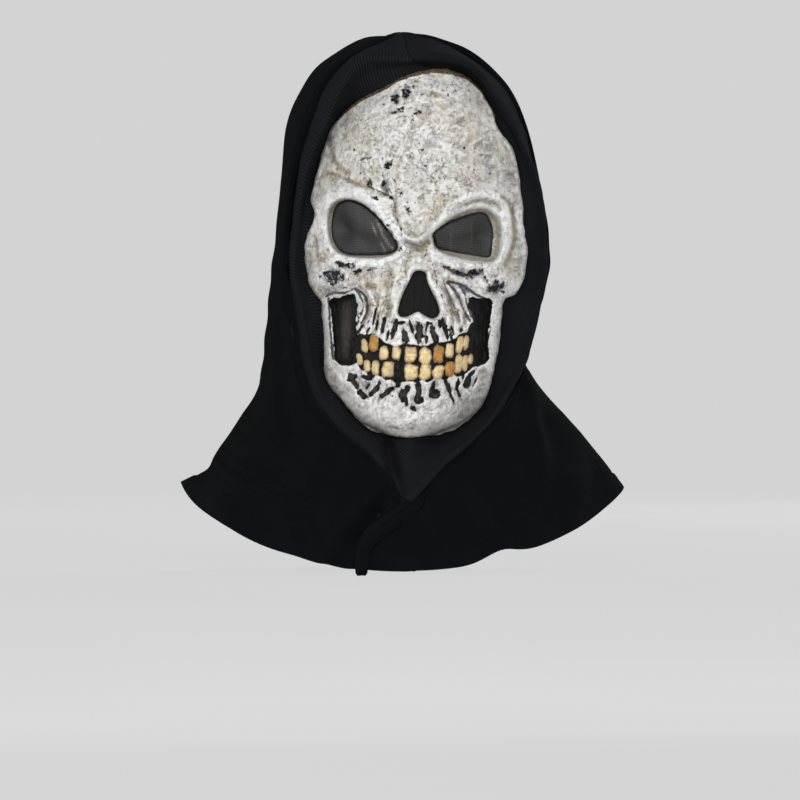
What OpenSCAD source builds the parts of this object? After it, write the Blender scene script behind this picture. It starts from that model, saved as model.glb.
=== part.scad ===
// A moulded latex skull face set into a knitted hood with a short shoulder cape.
// +Z is up and the face looks along -Y. The origin is the middle of the wearer's head at eye level.
// Left and right are as seen from in front of the face, so left is -X.

/* [Hood] */
// Width of the hood across the ears
hood_w = 190; // [180:1:205]
// Height from the hem at the front to the crown
hood_h = 376; // [360:1:400]
// Depth from the front of the cape to its back
hood_d = 233; // [222:1:245]
// Thickness of the knitted cloth, with its nap
cloth_t = 1.6; // [1.2:0.1:2.2]
// Width of the overlocked seam allowance inside the hood
seam_w = 6; // [4:0.5:8]

/* [Face] */
// Height of the latex face
face_h = 263; // [250:1:272]
// Width of the latex face at the eyes
face_w = 160; // [152:1:164]
// Latex thickness, measured from front to back
latex_t = 4; // [3:0.5:5]
// Lean of the face inside the hood, in degrees, with the top towards +X
face_lean = 3.4; // [0:0.2:4]
// Distance from the hood's middle to the face's middle
face_shift = 4.5; // [0:0.5:5]
// Overlap of the facing glued behind the latex edge
glue_w = 6; // [5:0.5:8]
// Overlap of a mesh glued behind its opening
mesh_glue_w = 4; // [3:0.5:4]

/* [Strap] */
// Width of the elastic strap
strap_w = 20; // [15:1:22]
// Thickness of the elastic strap
strap_t = 1.2; // [1:0.1:1.5]
// Height of the strap's middle above the eyes
strap_z = 16; // [10:1:20]
// Distance from the slider's middle to the head's middle, towards the front
slider_y = 8; // [4:1:12]

/* [Hidden] */

air = 0.3;            // the clearance between neighbouring pieces
glue_air = 1.8;       // the glue line behind the latex
sewn_air = 1.2;       // the clearance of the facing sewn inside the rolled edge
kx = hood_w / 190;    // scales of the hood's sections
ky = hood_d / 233;
kz = hood_h / 376;
fx = face_w / 160;    // scales of the face
fz = face_h / 263;

// Sections of the hood, top to hem: height at the sides, middle, half width, front, back,
// and how far the section drops at the front and back
hood_rows = [
    [139, -4, 2, -35, 14, 0],
    [136, -4, 20, -46, 34, 0],
    [130, -4, 35, -56, 54, 0],
    [118, -4, 53, -67, 76, 0],
    [100, -4, 70, -75, 92, 0],
    [76, -5, 80, -79, 101, 0],
    [40, -3, 88, -81, 107, 0],
    [0, 0, 94, -83, 107, 0],
    [-30, -2, 97, -86, 103, 0],
    [-60, -5, 96, -90, 96, 0],
    [-90, -10, 95, -96, 90, 0],
    [-112, -9, 99, -100, 91, 4],
    [-130, -8, 111, -104, 98, 14],
    [-156, -5, 132, -110, 109, 34],
    [-180, -7, 154, -114, 119, 57]
];
// Where the rolled front edge stands on each section, in degrees from the middle of the front
edge_left = [5, 17, 31, 47, 58, 56, 66, 69, 62, 53, 42, 37, 20, 0, 0];
edge_right = [5, 40, 60, 74, 82, 85, 86, 86, 84, 80, 74, 56, 31, 0, 0];
// Height on the face that each section's edge is joined to by the facing
facing_z = [119, 115, 108, 97, 82, 60, 30, 0, -30, -56, -84, -104, -126, -142];
hood_cols = 18;       // columns from the front edge to the back
seam_t = 1.8;         // thickness of the two overlocked edges
seam_gap = 0.2;       // half the gap where the panels meet

// Half width of the latex face against height
face_sides = [[-143, 6], [-141, 18], [-133, 35], [-121, 47], [-107, 55], [-90, 60], [-69, 63.5],
              [-51, 66], [-42, 73], [-9, 80], [19, 78], [50, 71], [71, 63], [89, 52], [106, 36],
              [113, 26], [120, 14]];
// Depth of the face's middle line and of its outer edge against height
face_middle = [[-143, -92], [-136, -106], [-120, -108], [-100, -110], [-70, -111], [-45, -104],
               [-20, -99], [0, -103], [20, -106], [50, -105], [80, -98], [100, -88], [120, -68]];
face_edge = [[-143, -80], [-120, -62], [-90, -48], [-50, -42], [0, -42], [50, -42], [90, -48], [120, -60]];
// Bumps and hollows: x, z, half width, half height, depth towards the back
face_relief = [
    [37, 2, 24, 17, 13],      // eye sockets
    [32, 25, 26, 8, -6],      // brow ridges
    [58, -34, 15, 11, -9],    // cheekbones
    [46, -74, 11, 26, 13],    // hollows under the cheekbones
    [0, -18, 9, 16, -7],      // bridge of the nose
    [66, 42, 12, 22, 4],      // temples
    [0, -92, 34, 12, -5],     // rows of teeth
    [0, -129, 26, 11, -5]     // chin
];
// Outlines of the openings, x and z from the face's middle
eye_left = [[-61, 10], [-58, 17], [-52, 20], [-46, 19.5], [-38, 16], [-28, 8], [-18, -4], [-14, -10],
            [-15, -14], [-22, -17], [-36, -18.5], [-50, -18], [-57, -13], [-61, -4]];
eye_right = [[10.5, 0], [20, 8], [28, 12], [35, 15], [42, 17], [47, 16], [50.5, 11], [52.5, 4],
             [52.5, -6], [51, -14], [40, -14], [25, -12.5], [14, -10.5], [11, -5]];
nose_hole = [[-1, -28], [6, -28], [8, -34], [12, -42], [16, -49], [18, -55], [16, -59], [12, -60],
             [7, -58], [3, -56], [-1, -58], [-5, -60], [-9, -60], [-11, -57], [-10, -50], [-7, -41],
             [-4, -34]];

strap_half = 70;      // from the face's middle to the middle of each strap tab
strap_back = 24;      // where the strap's bend round the back of the head begins
layer_gap = 2.6;      // between the two layers of the doubled strap
tab_t = 2;
tab_y = -41;          // the corner between a tab's flange and its slot plate
slider_l = 8;
slider_wall = 1.8;

// ---- helpers ----
function gauss(x, z, cx, cz, hw, hh) = exp(-(pow((x - cx) / hw, 2) + pow((z - cz) / hh, 2)));
function relief(x, z) = [for (r = face_relief)
    r[4] * (r[0] == 0 ? gauss(x, z, 0, r[1], r[2], r[3]) : gauss(abs(x), z, r[0], r[1], r[2], r[3]))];
function total(list, i = 0) = i < len(list) ? list[i] + total(list, i + 1) : 0;
function half_width(z) = lookup(z, face_sides);
// Depth of the latex's front at a point of the face, in the face's unscaled frame
function face_y(x, z) =
    let (far = pow(min(1, abs(x) / half_width(z)), 2.2))
    lookup(z, face_middle) * (1 - far) + lookup(z, face_edge) * far + total(relief(x, z)) * (1 - far * far);
function face_point(x, z, behind) = [x * fx, face_y(x, z) + behind, z * fz];

// A point of the hood: section number, which may lie between two, degrees from the front, side
// and distance inwards
function between(list, t) =
    let (i = min(floor(t), len(list) - 2))
    list[i] + (list[i + 1] - list[i]) * (t - i);
function section_point(r, top, turn, side, inwards) =
    let (w = max(0.6, r[2] * kx - inwards),
         front = r[3] * ky + inwards,
         back = r[4] * ky - inwards)
    [r[1] + side * max(w * sin(turn), seam_gap),
     (front + back) / 2 - (back - front) / 2 * cos(turn),
     (r[0] - r[5] * pow(abs(cos(turn)), 1.5)) * kz - (top ? inwards : 0)];
function hood_point(i, turn, side, inwards) = section_point(hood_rows[i], i == 0, turn, side, inwards);

// A closed slab between two grids of points, where the outer grid faces away from the inner one
module slab(outer, inner, loop = false) {
    rows = len(outer);
    cols = len(outer[0]);
    count = rows * cols;
    points = concat([for (r = outer) each r], [for (r = inner) each r]);
    across = loop ? cols : cols - 1;
    function at(r, c) = r * cols + c % cols;
    skins = [for (r = [0 : rows - 2], c = [0 : across - 1]) each [
        [at(r, c), at(r, c + 1), at(r + 1, c + 1)],
        [at(r, c), at(r + 1, c + 1), at(r + 1, c)],
        [count + at(r, c), count + at(r + 1, c + 1), count + at(r, c + 1)],
        [count + at(r, c), count + at(r + 1, c), count + at(r + 1, c + 1)]]];
    ends = [for (c = [0 : across - 1]) each [
        [at(0, c), count + at(0, c + 1), at(0, c + 1)],
        [at(0, c), count + at(0, c), count + at(0, c + 1)],
        [at(rows - 1, c), at(rows - 1, c + 1), count + at(rows - 1, c + 1)],
        [at(rows - 1, c), count + at(rows - 1, c + 1), count + at(rows - 1, c)]]];
    sides = loop ? [] : [for (r = [0 : rows - 2]) each [
        [at(r, 0), at(r + 1, 0), count + at(r + 1, 0)],
        [at(r, 0), count + at(r + 1, 0), count + at(r, 0)],
        [at(r, cols - 1), count + at(r + 1, cols - 1), at(r + 1, cols - 1)],
        [at(r, cols - 1), count + at(r, cols - 1), count + at(r + 1, cols - 1)]]];
    polyhedron(points, concat(skins, ends, sides), convexity = 8);
}

module lean() {
    translate([face_shift, 0, 0])
        rotate([0, face_lean, 0])
            children();
}

// ---- the face ----
mask_rows = 38;
mask_cols = 30;
function mask_grid(behind) = [for (i = [0 : mask_rows])
    let (z = 120 - 263 * i / mask_rows, w = half_width(z))
    [for (j = [0 : mask_cols]) face_point(w * (2 * j / mask_cols - 1), z, behind)]];

module opening(outline) {
    translate([0, 10, 0])
        rotate([90, 0, 0])
            scale([fx, fz, 1])
                linear_extrude(height = 160)
                    polygon(outline);
}

module mask_shell() {
    color("ivory")
        lean()
            difference() {
                slab(mask_grid(0), mask_grid(latex_t));
                opening(eye_left);
                opening(eye_right);
                opening(nose_hole);
            }
}

// A patch of see-through cloth glued behind an opening, over a rectangle of the face
module backing(x0, x1, z0, z1) {
    steps = 16;
    function grid(behind) = [for (i = [0 : steps])
        [for (j = [0 : steps])
            face_point(x0 + (x1 - x0) * j / steps, z1 + (z0 - z1) * i / steps, behind)]];
    lean()
        slab(grid(latex_t + glue_air), grid(latex_t + glue_air + 0.8));
}

module eye_mesh_left() {
    color("dimgray")
        backing(-61 - mesh_glue_w, -14 + mesh_glue_w, -18.5 - mesh_glue_w, 20 + mesh_glue_w);
}

module eye_mesh_right() {
    color("dimgray")
        backing(10.5 - mesh_glue_w, 52.5 + mesh_glue_w, -14 - mesh_glue_w, 17 + mesh_glue_w);
}

module nose_mesh() {
    color("black")
        backing(-11 - mesh_glue_w, 18 + mesh_glue_w, -60 - mesh_glue_w, -28 + mesh_glue_w);
}

// ---- the hood ----
function hood_grid(edge, side, inwards) = [for (i = [0 : len(hood_rows) - 1])
    let (last = 180 - asin(min(0.5, (seam_t / 2 + seam_gap) / (hood_rows[i][2] * kx))))
    [for (j = [0 : hood_cols])
        hood_point(i, edge[i] + (last - edge[i]) * j / hood_cols, side, inwards)]];

module hood_panel_left() {
    color("#141416")
        slab(hood_grid(edge_left, -1, cloth_t), hood_grid(edge_left, -1, 0));
}

module hood_panel_right() {
    color("#141416")
        slab(hood_grid(edge_right, 1, 0), hood_grid(edge_right, 1, cloth_t));
}

module centre_seam() {
    top = hood_rows[0];
    back = [for (i = [1 : len(hood_rows) - 1]) hood_point(i, 180, 0, 0)];
    crown = [[top[1], top[3] * ky + 6, top[0] * kz], [top[1], top[4] * ky, top[0] * kz]];
    route = concat(crown, back);
    function shifted(side, inwards) = [for (i = [0 : len(route) - 1])
        route[i] + [side * seam_t / 2, i > 1 ? -inwards : 0, i < 5 ? -inwards : 0]];
    color("black")
        slab([shifted(1, seam_w), shifted(1, 0)], [shifted(-1, seam_w), shifted(-1, 0)]);
}

// The band between the latex edge and the rolled front edge, as a closed ring
facing_steps = 4;     // stations for each section of the hood
function facing_side(edge, side, extra) = [for (i = [0 : facing_steps * (len(facing_z) - 1)])
    let (t = i / facing_steps,
         k = min(floor(t), len(facing_z) - 2),
         above = hood_point(k, edge[k], side, cloth_t + sewn_air + extra),
         below = hood_point(k + 1, edge[k + 1], side, cloth_t + sewn_air + extra))
    [between(facing_z, t), side, above + (below - above) * (t - k)]];
function leant(p) = [p[0] * cos(face_lean) + p[2] * sin(face_lean) + face_shift, p[1],
                     p[2] * cos(face_lean) - p[0] * sin(face_lean)];
function facing_ring(part, extra) =
    let (left = facing_side(edge_left, -1, extra),
         right = facing_side(edge_right, 1, extra),
         behind = latex_t + glue_air + extra,
         stations = concat(left, [for (i = [len(right) - 1 : -1 : 0]) right[i]]))
    [for (s = stations)
        let (w = half_width(s[0]),
             glued = leant(face_point(s[1] * (w - glue_w), s[0] * 0.96, behind)),
             edge = leant(face_point(s[1] * w, s[0], behind)))
        part == 0 ? glued : part == 1 ? edge : (edge * (3 - part) + s[2] * (part - 1)) / 2];

module face_facing() {
    color("#1c1c1f")
        slab([for (k = [0 : 3]) facing_ring(k, cloth_t)], [for (k = [0 : 3]) facing_ring(k, 0)], true);
}

// The hemmed end of the right front edge, crossing to the left below the chin
module front_strip() {
    half = 5;
    route = [[-4, -186], [-16, -200], [-28, -214], [-31, -228], [-32, -240]];
    function row(dx, out) = [for (p = route) [p[0] + dx, -(110 + (-186 - p[1]) * 0.08) * ky - out, p[1] * kz]];
    color("#1c1c1f")
        slab([row(-half, air + cloth_t), row(half, air + cloth_t)], [row(-half, air), row(half, air)]);
}

module neck_tack() {
    color("black")
        translate([-4, -111 * ky - air - cloth_t - 1.6, -187 * kz])
            rotate([0, 90, 0])
                cylinder(h = 9, r = 0.8, center = true, $fn = 24);
}

module care_label() {
    color("white")
        translate([-12, 80 * ky, -112 * kz])
            cube([24, 0.8, 34]);
}

// ---- the strap ----
module strap_tab(side) {
    plate_l = 13;
    slot_l = strap_t + 1.6;
    flange_x = 9;
    flange_y = 13;
    color("#202020")
        translate([face_shift, 0, strap_z])
            difference() {
                linear_extrude(height = strap_w + 8, center = true)
                    polygon([[side * (strap_half - tab_t / 2), tab_y + plate_l],
                             [side * (strap_half + tab_t / 2), tab_y + plate_l],
                             [side * (strap_half + tab_t / 2), tab_y],
                             [side * (strap_half + tab_t / 2 - flange_x), tab_y - flange_y],
                             [side * (strap_half - 0.8 - flange_x), tab_y - flange_y + 1.2],
                             [side * (strap_half - tab_t / 2), tab_y + 1.2]]);
                translate([side * strap_half, tab_y + 5 + slot_l / 2, 0])
                    cube([tab_t * 3, slot_l, strap_w + 1], center = true);
            }
}

module strap_tab_left() strap_tab(-1);

module strap_tab_right() strap_tab(1);

// A latex-coated patch glued over a tab's flange
module tab_patch(side) {
    color("tan")
        translate([face_shift, 0, strap_z])
            linear_extrude(height = strap_w + 12, center = true)
                polygon([[side * (strap_half - 1.6), tab_y + 0.9],
                         [side * (strap_half - 10.3), tab_y - 11.9],
                         [side * (strap_half - 11), tab_y - 11.5],
                         [side * (strap_half - 2.3), tab_y + 1.4]]);
}

module tab_patch_left() tab_patch(-1);

module tab_patch_right() tab_patch(1);

// One elastic band: through the right tab's slot and back to a free tail, round the head and
// through the left tab's slot, where its short end is sewn down
module elastic_strap() {
    outer = strap_half + layer_gap / 2;
    inner = strap_half - layer_gap / 2 - strap_t;
    slot_y = tab_y + 5 + 0.8;
    color("black")
        translate([face_shift, 0, strap_z])
            linear_extrude(height = strap_w, center = true)
                union() {
                    translate([0, strap_back])
                        intersection() {
                            difference() {
                                circle(r = outer + strap_t, $fn = 96);
                                circle(r = outer, $fn = 96);
                            }
                            translate([-2 * outer, 0])
                                square([4 * outer, 2 * outer]);
                        }
                    for (side = [-1, 1], x = side > 0 ? outer : -outer - strap_t)
                        translate([x, slot_y])
                            square([strap_t, strap_back - slot_y]);
                    translate([inner, slot_y])
                        square([strap_t, strap_back - slot_y - 3]);
                    translate([-inner - strap_t, slot_y])
                        square([strap_t, 22]);
                    for (side = [-1, 1])
                        translate([side * strap_half, slot_y + strap_t / 2])
                            square([layer_gap + 2 * strap_t, strap_t], center = true);
                }
}

// A moulded keeper with one slot for each layer of the strap
module strap_slider() {
    slot_t = strap_t + 2 * air;
    body_x = layer_gap + 2 * strap_t + 2 * air + 2 * slider_wall;
    color("#101010")
        translate([face_shift + strap_half, -slider_y, strap_z])
            difference() {
                cube([body_x, slider_l, strap_w + 2 * air + 2 * slider_wall], center = true);
                for (side = [-1, 1])
                    translate([side * (layer_gap + strap_t) / 2, 0, 0])
                        cube([slot_t, slider_l + 1, strap_w + 2 * air], center = true);
            }
}

mask_shell();
eye_mesh_left();
eye_mesh_right();
nose_mesh();
face_facing();
hood_panel_left();
hood_panel_right();
centre_seam();
front_strip();
neck_tack();
strap_tab_left();
strap_tab_right();
tab_patch_left();
tab_patch_right();
elastic_strap();
strap_slider();
care_label();
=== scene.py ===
import math

import bpy
import numpy as np
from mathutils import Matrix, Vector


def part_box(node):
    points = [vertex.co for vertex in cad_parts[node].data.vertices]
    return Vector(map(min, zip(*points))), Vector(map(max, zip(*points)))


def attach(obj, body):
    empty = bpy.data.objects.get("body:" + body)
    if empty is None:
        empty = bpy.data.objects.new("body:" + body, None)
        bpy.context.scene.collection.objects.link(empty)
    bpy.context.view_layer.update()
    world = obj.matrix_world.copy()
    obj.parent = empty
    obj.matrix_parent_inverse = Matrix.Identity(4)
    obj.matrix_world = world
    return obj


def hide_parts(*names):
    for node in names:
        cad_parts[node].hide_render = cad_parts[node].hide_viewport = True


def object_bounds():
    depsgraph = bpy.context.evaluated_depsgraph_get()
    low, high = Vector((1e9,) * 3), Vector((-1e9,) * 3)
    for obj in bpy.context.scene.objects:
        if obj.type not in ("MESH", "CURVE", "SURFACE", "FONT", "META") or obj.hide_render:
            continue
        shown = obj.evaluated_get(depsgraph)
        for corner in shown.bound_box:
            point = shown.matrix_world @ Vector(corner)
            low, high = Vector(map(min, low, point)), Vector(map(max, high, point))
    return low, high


# The looks of a latex skull face in a black knitted hood. Lengths are in millimetres until a mesh
# is made. Left and right are as seen from in front of the face, so left is -X.

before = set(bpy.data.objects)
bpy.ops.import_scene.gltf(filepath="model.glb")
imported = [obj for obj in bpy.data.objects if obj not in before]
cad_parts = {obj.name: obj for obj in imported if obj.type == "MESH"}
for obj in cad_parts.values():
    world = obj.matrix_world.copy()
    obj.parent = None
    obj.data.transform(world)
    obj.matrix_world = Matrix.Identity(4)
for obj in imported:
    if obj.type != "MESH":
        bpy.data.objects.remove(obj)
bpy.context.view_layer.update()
MM = 0.001

# The face's own frame: it leans in the hood and is scaled to the CAD's latex moulding.
# FACE_TALL is the height that the places on the face are written for.
MASK_LOW, MASK_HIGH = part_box("mask_shell")
FACE_TALL = 263.7
FACE_K = (MASK_HIGH.z - MASK_LOW.z) / (FACE_TALL * MM)
FACE_LEAN = math.radians(3.4)
FACE_SHIFT = 4.5


# ---------------------------------------------------------------- helpers
def smooth(low, high, t):
    """0 below low, 1 above high and a smooth step between."""
    t = np.clip((t - low) / (high - low), 0, 1)
    return t * t * (3 - 2 * t)


def catmull_rom(a, b, c, d, t):
    """The smooth curve from b to c, at t from 0 to 1, where a and d are the points beyond them."""
    return 0.5 * (2 * b + (c - a) * t + (2 * a - 5 * b + 4 * c - d) * t ** 2
                  + (3 * b - a - 3 * c + d) * t ** 3)


def spline(points, each=4, closed=False):
    """A Catmull-Rom curve through points, with that many steps to each stretch."""
    p = np.array(points, float)
    n = len(p)
    out = []
    for i in range(n if closed else n - 1):
        if closed:
            a, b, c, d = (p[(i + k) % n] for k in (-1, 0, 1, 2))
        else:
            a, b, c, d = p[max(i - 1, 0)], p[i], p[i + 1], p[min(i + 2, n - 1)]
        for t in np.arange(each) / each:
            out.append(catmull_rom(a, b, c, d, t))
    if not closed:
        out.append(p[-1])
    return np.array(out)


def path_distance(x, z, points, closed=False):
    """Distance from each (x, z) to a polyline."""
    p = np.array(points, float)
    ends = np.roll(p, -1, axis=0) if closed else p[1:]
    starts = p if closed else p[:-1]
    best = np.full(x.shape, 1e9)
    for (ax, az), (bx, bz) in zip(starts, ends):
        dx, dz = bx - ax, bz - az
        t = np.clip(((x - ax) * dx + (z - az) * dz) / (dx * dx + dz * dz + 1e-12), 0, 1)
        best = np.minimum(best, (x - ax - t * dx) ** 2 + (z - az - t * dz) ** 2)
    return np.sqrt(best)


def inside(x, z, points):
    """True where (x, z) is inside a closed outline."""
    p = np.array(points, float)
    hit = np.zeros(x.shape, bool)
    for (ax, az), (bx, bz) in zip(p, np.roll(p, -1, axis=0)):
        if az == bz:
            continue
        crosses = ((az > z) != (bz > z)) & (x < (bx - ax) * (z - az) / (bz - az) + ax)
        hit ^= crosses
    return hit


def outline_distance(x, z, points):
    """Signed distance to a closed outline, negative inside."""
    return path_distance(x, z, points, True) * np.where(inside(x, z, points), -1, 1)


def ridge(x, z, points, width):
    """1 along a path, falling to 0 over about width."""
    return np.exp(-(path_distance(x, z, spline(points)) / width) ** 2)


def turned(x, z, cx, cz, tilt):
    """Places measured from (cx, cz), along axes turned by tilt degrees."""
    c, s = math.cos(math.radians(tilt)), math.sin(math.radians(tilt))
    return (x - cx) * c + (z - cz) * s, (z - cz) * c - (x - cx) * s


def bump(x, z, cx, cz, rx, rz, tilt=0):
    """A round bump, 1 in its middle, turned by tilt degrees."""
    u, w = turned(x, z, cx, cz, tilt)
    return np.exp(-(u / rx) ** 2 - (w / rz) ** 2)


def cell(x, z, cx, cz, rx, rz, tilt=0, power=2.0):
    """Below 1 inside a rounded box, and growing outwards."""
    u, w = turned(x, z, cx, cz, tilt)
    return (np.abs(u / rx) ** power + np.abs(w / rz) ** power) ** (1 / power)


def blots(x, z, table, soft, power=2.0, wobble=0):
    """Patches of a table with hard edges, one over another. Their edges fade over the width soft."""
    total = np.zeros(x.shape)
    for cx, cz, rx, rz, tilt, *strength in table:
        c = cell(x, z, cx, cz, rx, rz, tilt, power) + wobble
        shown = np.clip(0.5 + (1.0 - c) * min(rx, rz) / soft, 0, 1)
        total = np.maximum(total, strength[0] * shown if strength else shown)
    return total


def noise(x, z, size, seed, octaves=4):
    """Smooth noise from -1 to 1 with features of about size."""
    total, strength, weight = np.zeros(x.shape), 1.0, 0.0
    for octave in range(octaves):
        table = np.random.RandomState(seed + octave).rand(128, 128) * 2 - 1
        u, w = x / size * 2 ** octave + 37.3, z / size * 2 ** octave + 61.7
        i, j = np.floor(u).astype(int), np.floor(w).astype(int)
        f, g = u - i, w - j
        f, g = f * f * (3 - 2 * f), g * g * (3 - 2 * g)
        a, b = table[i % 128, j % 128], table[(i + 1) % 128, j % 128]
        c, d = table[i % 128, (j + 1) % 128], table[(i + 1) % 128, (j + 1) % 128]
        total += strength * ((a * (1 - f) + b * f) * (1 - g) + (c * (1 - f) + d * f) * g)
        weight += strength
        strength *= 0.55
    return total / weight * 1.6


def blur(grid, cells):
    """A Gaussian blur of a 2-D grid, by that many cells."""
    reach = int(3 * cells) + 1
    kernel = np.exp(-0.5 * (np.arange(-reach, reach + 1) / cells) ** 2)
    kernel /= kernel.sum()
    for axis in (0, 1):
        padded = np.pad(grid, [(reach, reach) if k == axis else (0, 0) for k in (0, 1)], mode="edge")
        grid = sum(w * np.take(padded, np.arange(k, k + grid.shape[axis]), axis=axis)
                   for k, w in enumerate(kernel))
    return grid


def soft_table(table, t, reach=6.0):
    """A table of (place, value) read at t and rounded off over reach."""
    places, values = zip(*sorted(table))
    fine = np.linspace(places[0] - 7 * reach, places[-1] + 7 * reach, 700)
    step = fine[1] - fine[0]
    half = int(3 * reach / step)
    kernel = np.exp(-0.5 * (np.arange(-half, half + 1) * step / reach) ** 2)
    rough = np.interp(fine, places, values)
    rounded = np.convolve(np.pad(rough, half, mode="edge"), kernel / kernel.sum(), "valid")
    return np.interp(t, fine, rounded)


def make_mesh(name, points, faces, material):
    """A smoothly shaded mesh object from points in millimetres."""
    mesh = bpy.data.meshes.new(name)
    mesh.from_pydata((np.asarray(points) * MM).tolist(), [], [tuple(int(i) for i in f) for f in faces])
    mesh.materials.append(material)
    mesh.polygons.foreach_set("use_smooth", [True] * len(mesh.polygons))
    mesh.update()
    piece = bpy.data.objects.new(name, mesh)
    bpy.context.scene.collection.objects.link(piece)
    return piece


def paint(piece, name, values):
    """Keeps a number for each vertex, which the material reads by name."""
    layer = piece.data.attributes.new(name, "FLOAT", "POINT")
    layer.data.foreach_set("value", np.asarray(values, float).ravel())


def place(piece, name, vectors):
    """Keeps a place on the cloth for each vertex, in millimetres of cloth."""
    layer = piece.data.attributes.new(name, "FLOAT_VECTOR", "POINT")
    layer.data.foreach_set("vector", np.asarray(vectors, float).ravel())


def directions(path):
    """The unit direction of a path at each of its points."""
    tangent = np.gradient(path, axis=0)
    return tangent / np.linalg.norm(tangent, axis=1, keepdims=True)


def thicken(piece, thickness, offset=0):
    """Makes a sheet that thick, on both sides of its surface or, at offset -1, inside it."""
    solid = piece.modifiers.new("cloth", "SOLIDIFY")
    solid.thickness = thickness * MM
    solid.offset = offset


def dress(piece, node):
    """Hides the CAD part that a piece stands for, and makes the piece ride on the mask."""
    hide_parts(node)
    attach(piece, "mask")


# ---------------------------------------------------------------- the face: outlines
# Every place on the face is (x, z) in its own frame, in millimetres from its middle at eye level
OUTLINE = [(0, 115), (10, 116.5), (18, 115.5), (27, 112.5), (34, 108), (40, 102), (45, 94), (48.5, 87),
           (51, 79), (55, 73), (60, 68), (64, 62), (67, 54), (69, 45), (70.5, 35), (72.5, 25), (73.5, 15),
           (75, 5), (77.5, -5), (78, -15), (77, -25), (74.5, -33), (71, -38.5), (66.5, -41), (63, -43),
           (62.5, -50), (62, -70), (61, -82), (59, -93), (57.5, -103), (54.5, -113), (51, -120),
           (46, -126.5), (40, -132), (33, -137), (22, -141), (10, -143), (0, -144), (-10, -143.5),
           (-20, -142), (-27, -139.5), (-34, -134.5), (-42, -126), (-50, -117.5), (-57, -110),
           (-60, -103), (-61, -95), (-62, -82), (-63.3, -70), (-65, -60), (-66, -52), (-70, -47.5),
           (-75, -40.5), (-77, -32), (-79, -22), (-80, -13), (-78.5, -6), (-75.5, 2), (-74, 10),
           (-76.5, 16), (-77.5, 21), (-76, 30), (-75, 36), (-73, 45), (-70.5, 57), (-67, 69), (-61, 79),
           (-50, 89.5), (-40, 95.5), (-30, 101), (-20, 107), (-10, 112)]
LEFT_RIM = [(-66, 11), (-62, 17.5), (-55, 20.8), (-47, 20.5), (-38, 17), (-29, 9.5), (-20, -1),
            (-13.5, -9), (-13.5, -14.5), (-18, -18.5), (-27, -21), (-38, -21.5), (-50, -20), (-58, -17),
            (-62.5, -11), (-65.5, 0)]
LEFT_HOLE = [(-61, 10), (-58, 17), (-52, 20), (-46, 19.5), (-38, 16), (-28, 8), (-18, -4), (-14, -10),
             (-15, -14), (-22, -17), (-36, -18.5), (-50, -18), (-57, -13), (-61, -4)]
RIGHT_RIM = [(9.5, 0), (20, 10.5), (30, 17), (40, 20), (49, 19.5), (56, 15.5), (59.5, 8), (60.5, -2),
             (60, -10), (57.5, -16), (52, -19.3), (40, -20), (25, -18), (13, -12), (9.5, -5)]
RIGHT_HOLE = [(10.5, 0), (20, 8), (28, 12), (35, 15), (42, 17), (47, 16), (50.5, 11), (52.5, 4),
              (52.5, -6), (51, -14), (40, -14), (25, -12.5), (14, -10.5), (11, -5)]
NOSE_HOLE = [(-1, -28), (6, -28), (8, -34), (12, -42), (16, -49), (18, -55), (16, -59), (12, -60),
             (7, -58), (3, -56), (-1, -58), (-5, -60), (-9, -60), (-11, -57), (-10, -50), (-7, -41),
             (-4, -34)]
LEFT_RECESS = [(-60, -51), (-50, -47.5), (-43, -46.5), (-40.5, -50), (-39, -57), (-40, -64), (-38.5, -72),
               (-36.5, -80), (-39, -88), (-38, -95), (-45, -96), (-51, -95.5), (-54, -90), (-55.5, -80),
               (-57, -68), (-58.5, -58)]
RIGHT_RECESS = [(39, -44), (47, -43.5), (54, -44), (54.5, -55), (53.5, -66), (54, -76), (55, -84),
                (52.5, -89.5), (46, -91.5), (43, -88), (40.5, -80), (40, -72), (38.5, -67), (41, -62),
                (40.5, -56), (37.5, -49)]

# Half width of the face, and the depth of its middle line and of its outer edge, against height
FACE_SIDES = [(-143, 8), (-141, 22), (-133, 37), (-121, 50), (-107, 58), (-90, 62), (-69, 64), (-51, 68),
              (-42, 74), (-9, 80), (19, 78), (50, 73), (71, 66), (89, 55), (106, 40), (113, 31), (120, 22)]
FACE_MIDDLE = [(-143, -92), (-136, -106), (-120, -108), (-100, -110), (-70, -111), (-45, -104),
               (-20, -99), (0, -103), (20, -106), (50, -105), (80, -98), (100, -88), (120, -68)]
FACE_EDGE = [(-143, -80), (-120, -62), (-90, -48), (-50, -42), (0, -42), (50, -42), (90, -48), (120, -60)]


def face_base(x, z):
    """Depth of the plain curved face, without any of its features."""
    ratio = np.minimum(np.abs(x) / soft_table(FACE_SIDES, z, 4), 1.04)
    far = ratio ** 2.2
    return soft_table(FACE_MIDDLE, z) * (1 - far) + soft_table(FACE_EDGE, z) * far


# ---------------------------------------------------------------- the face: relief
# The sunk temples, which the cloth goes behind: x, z, half width, half height
TEMPLES = [(-68, 46, 10, 22), (66, 46, 12, 22)]
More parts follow.
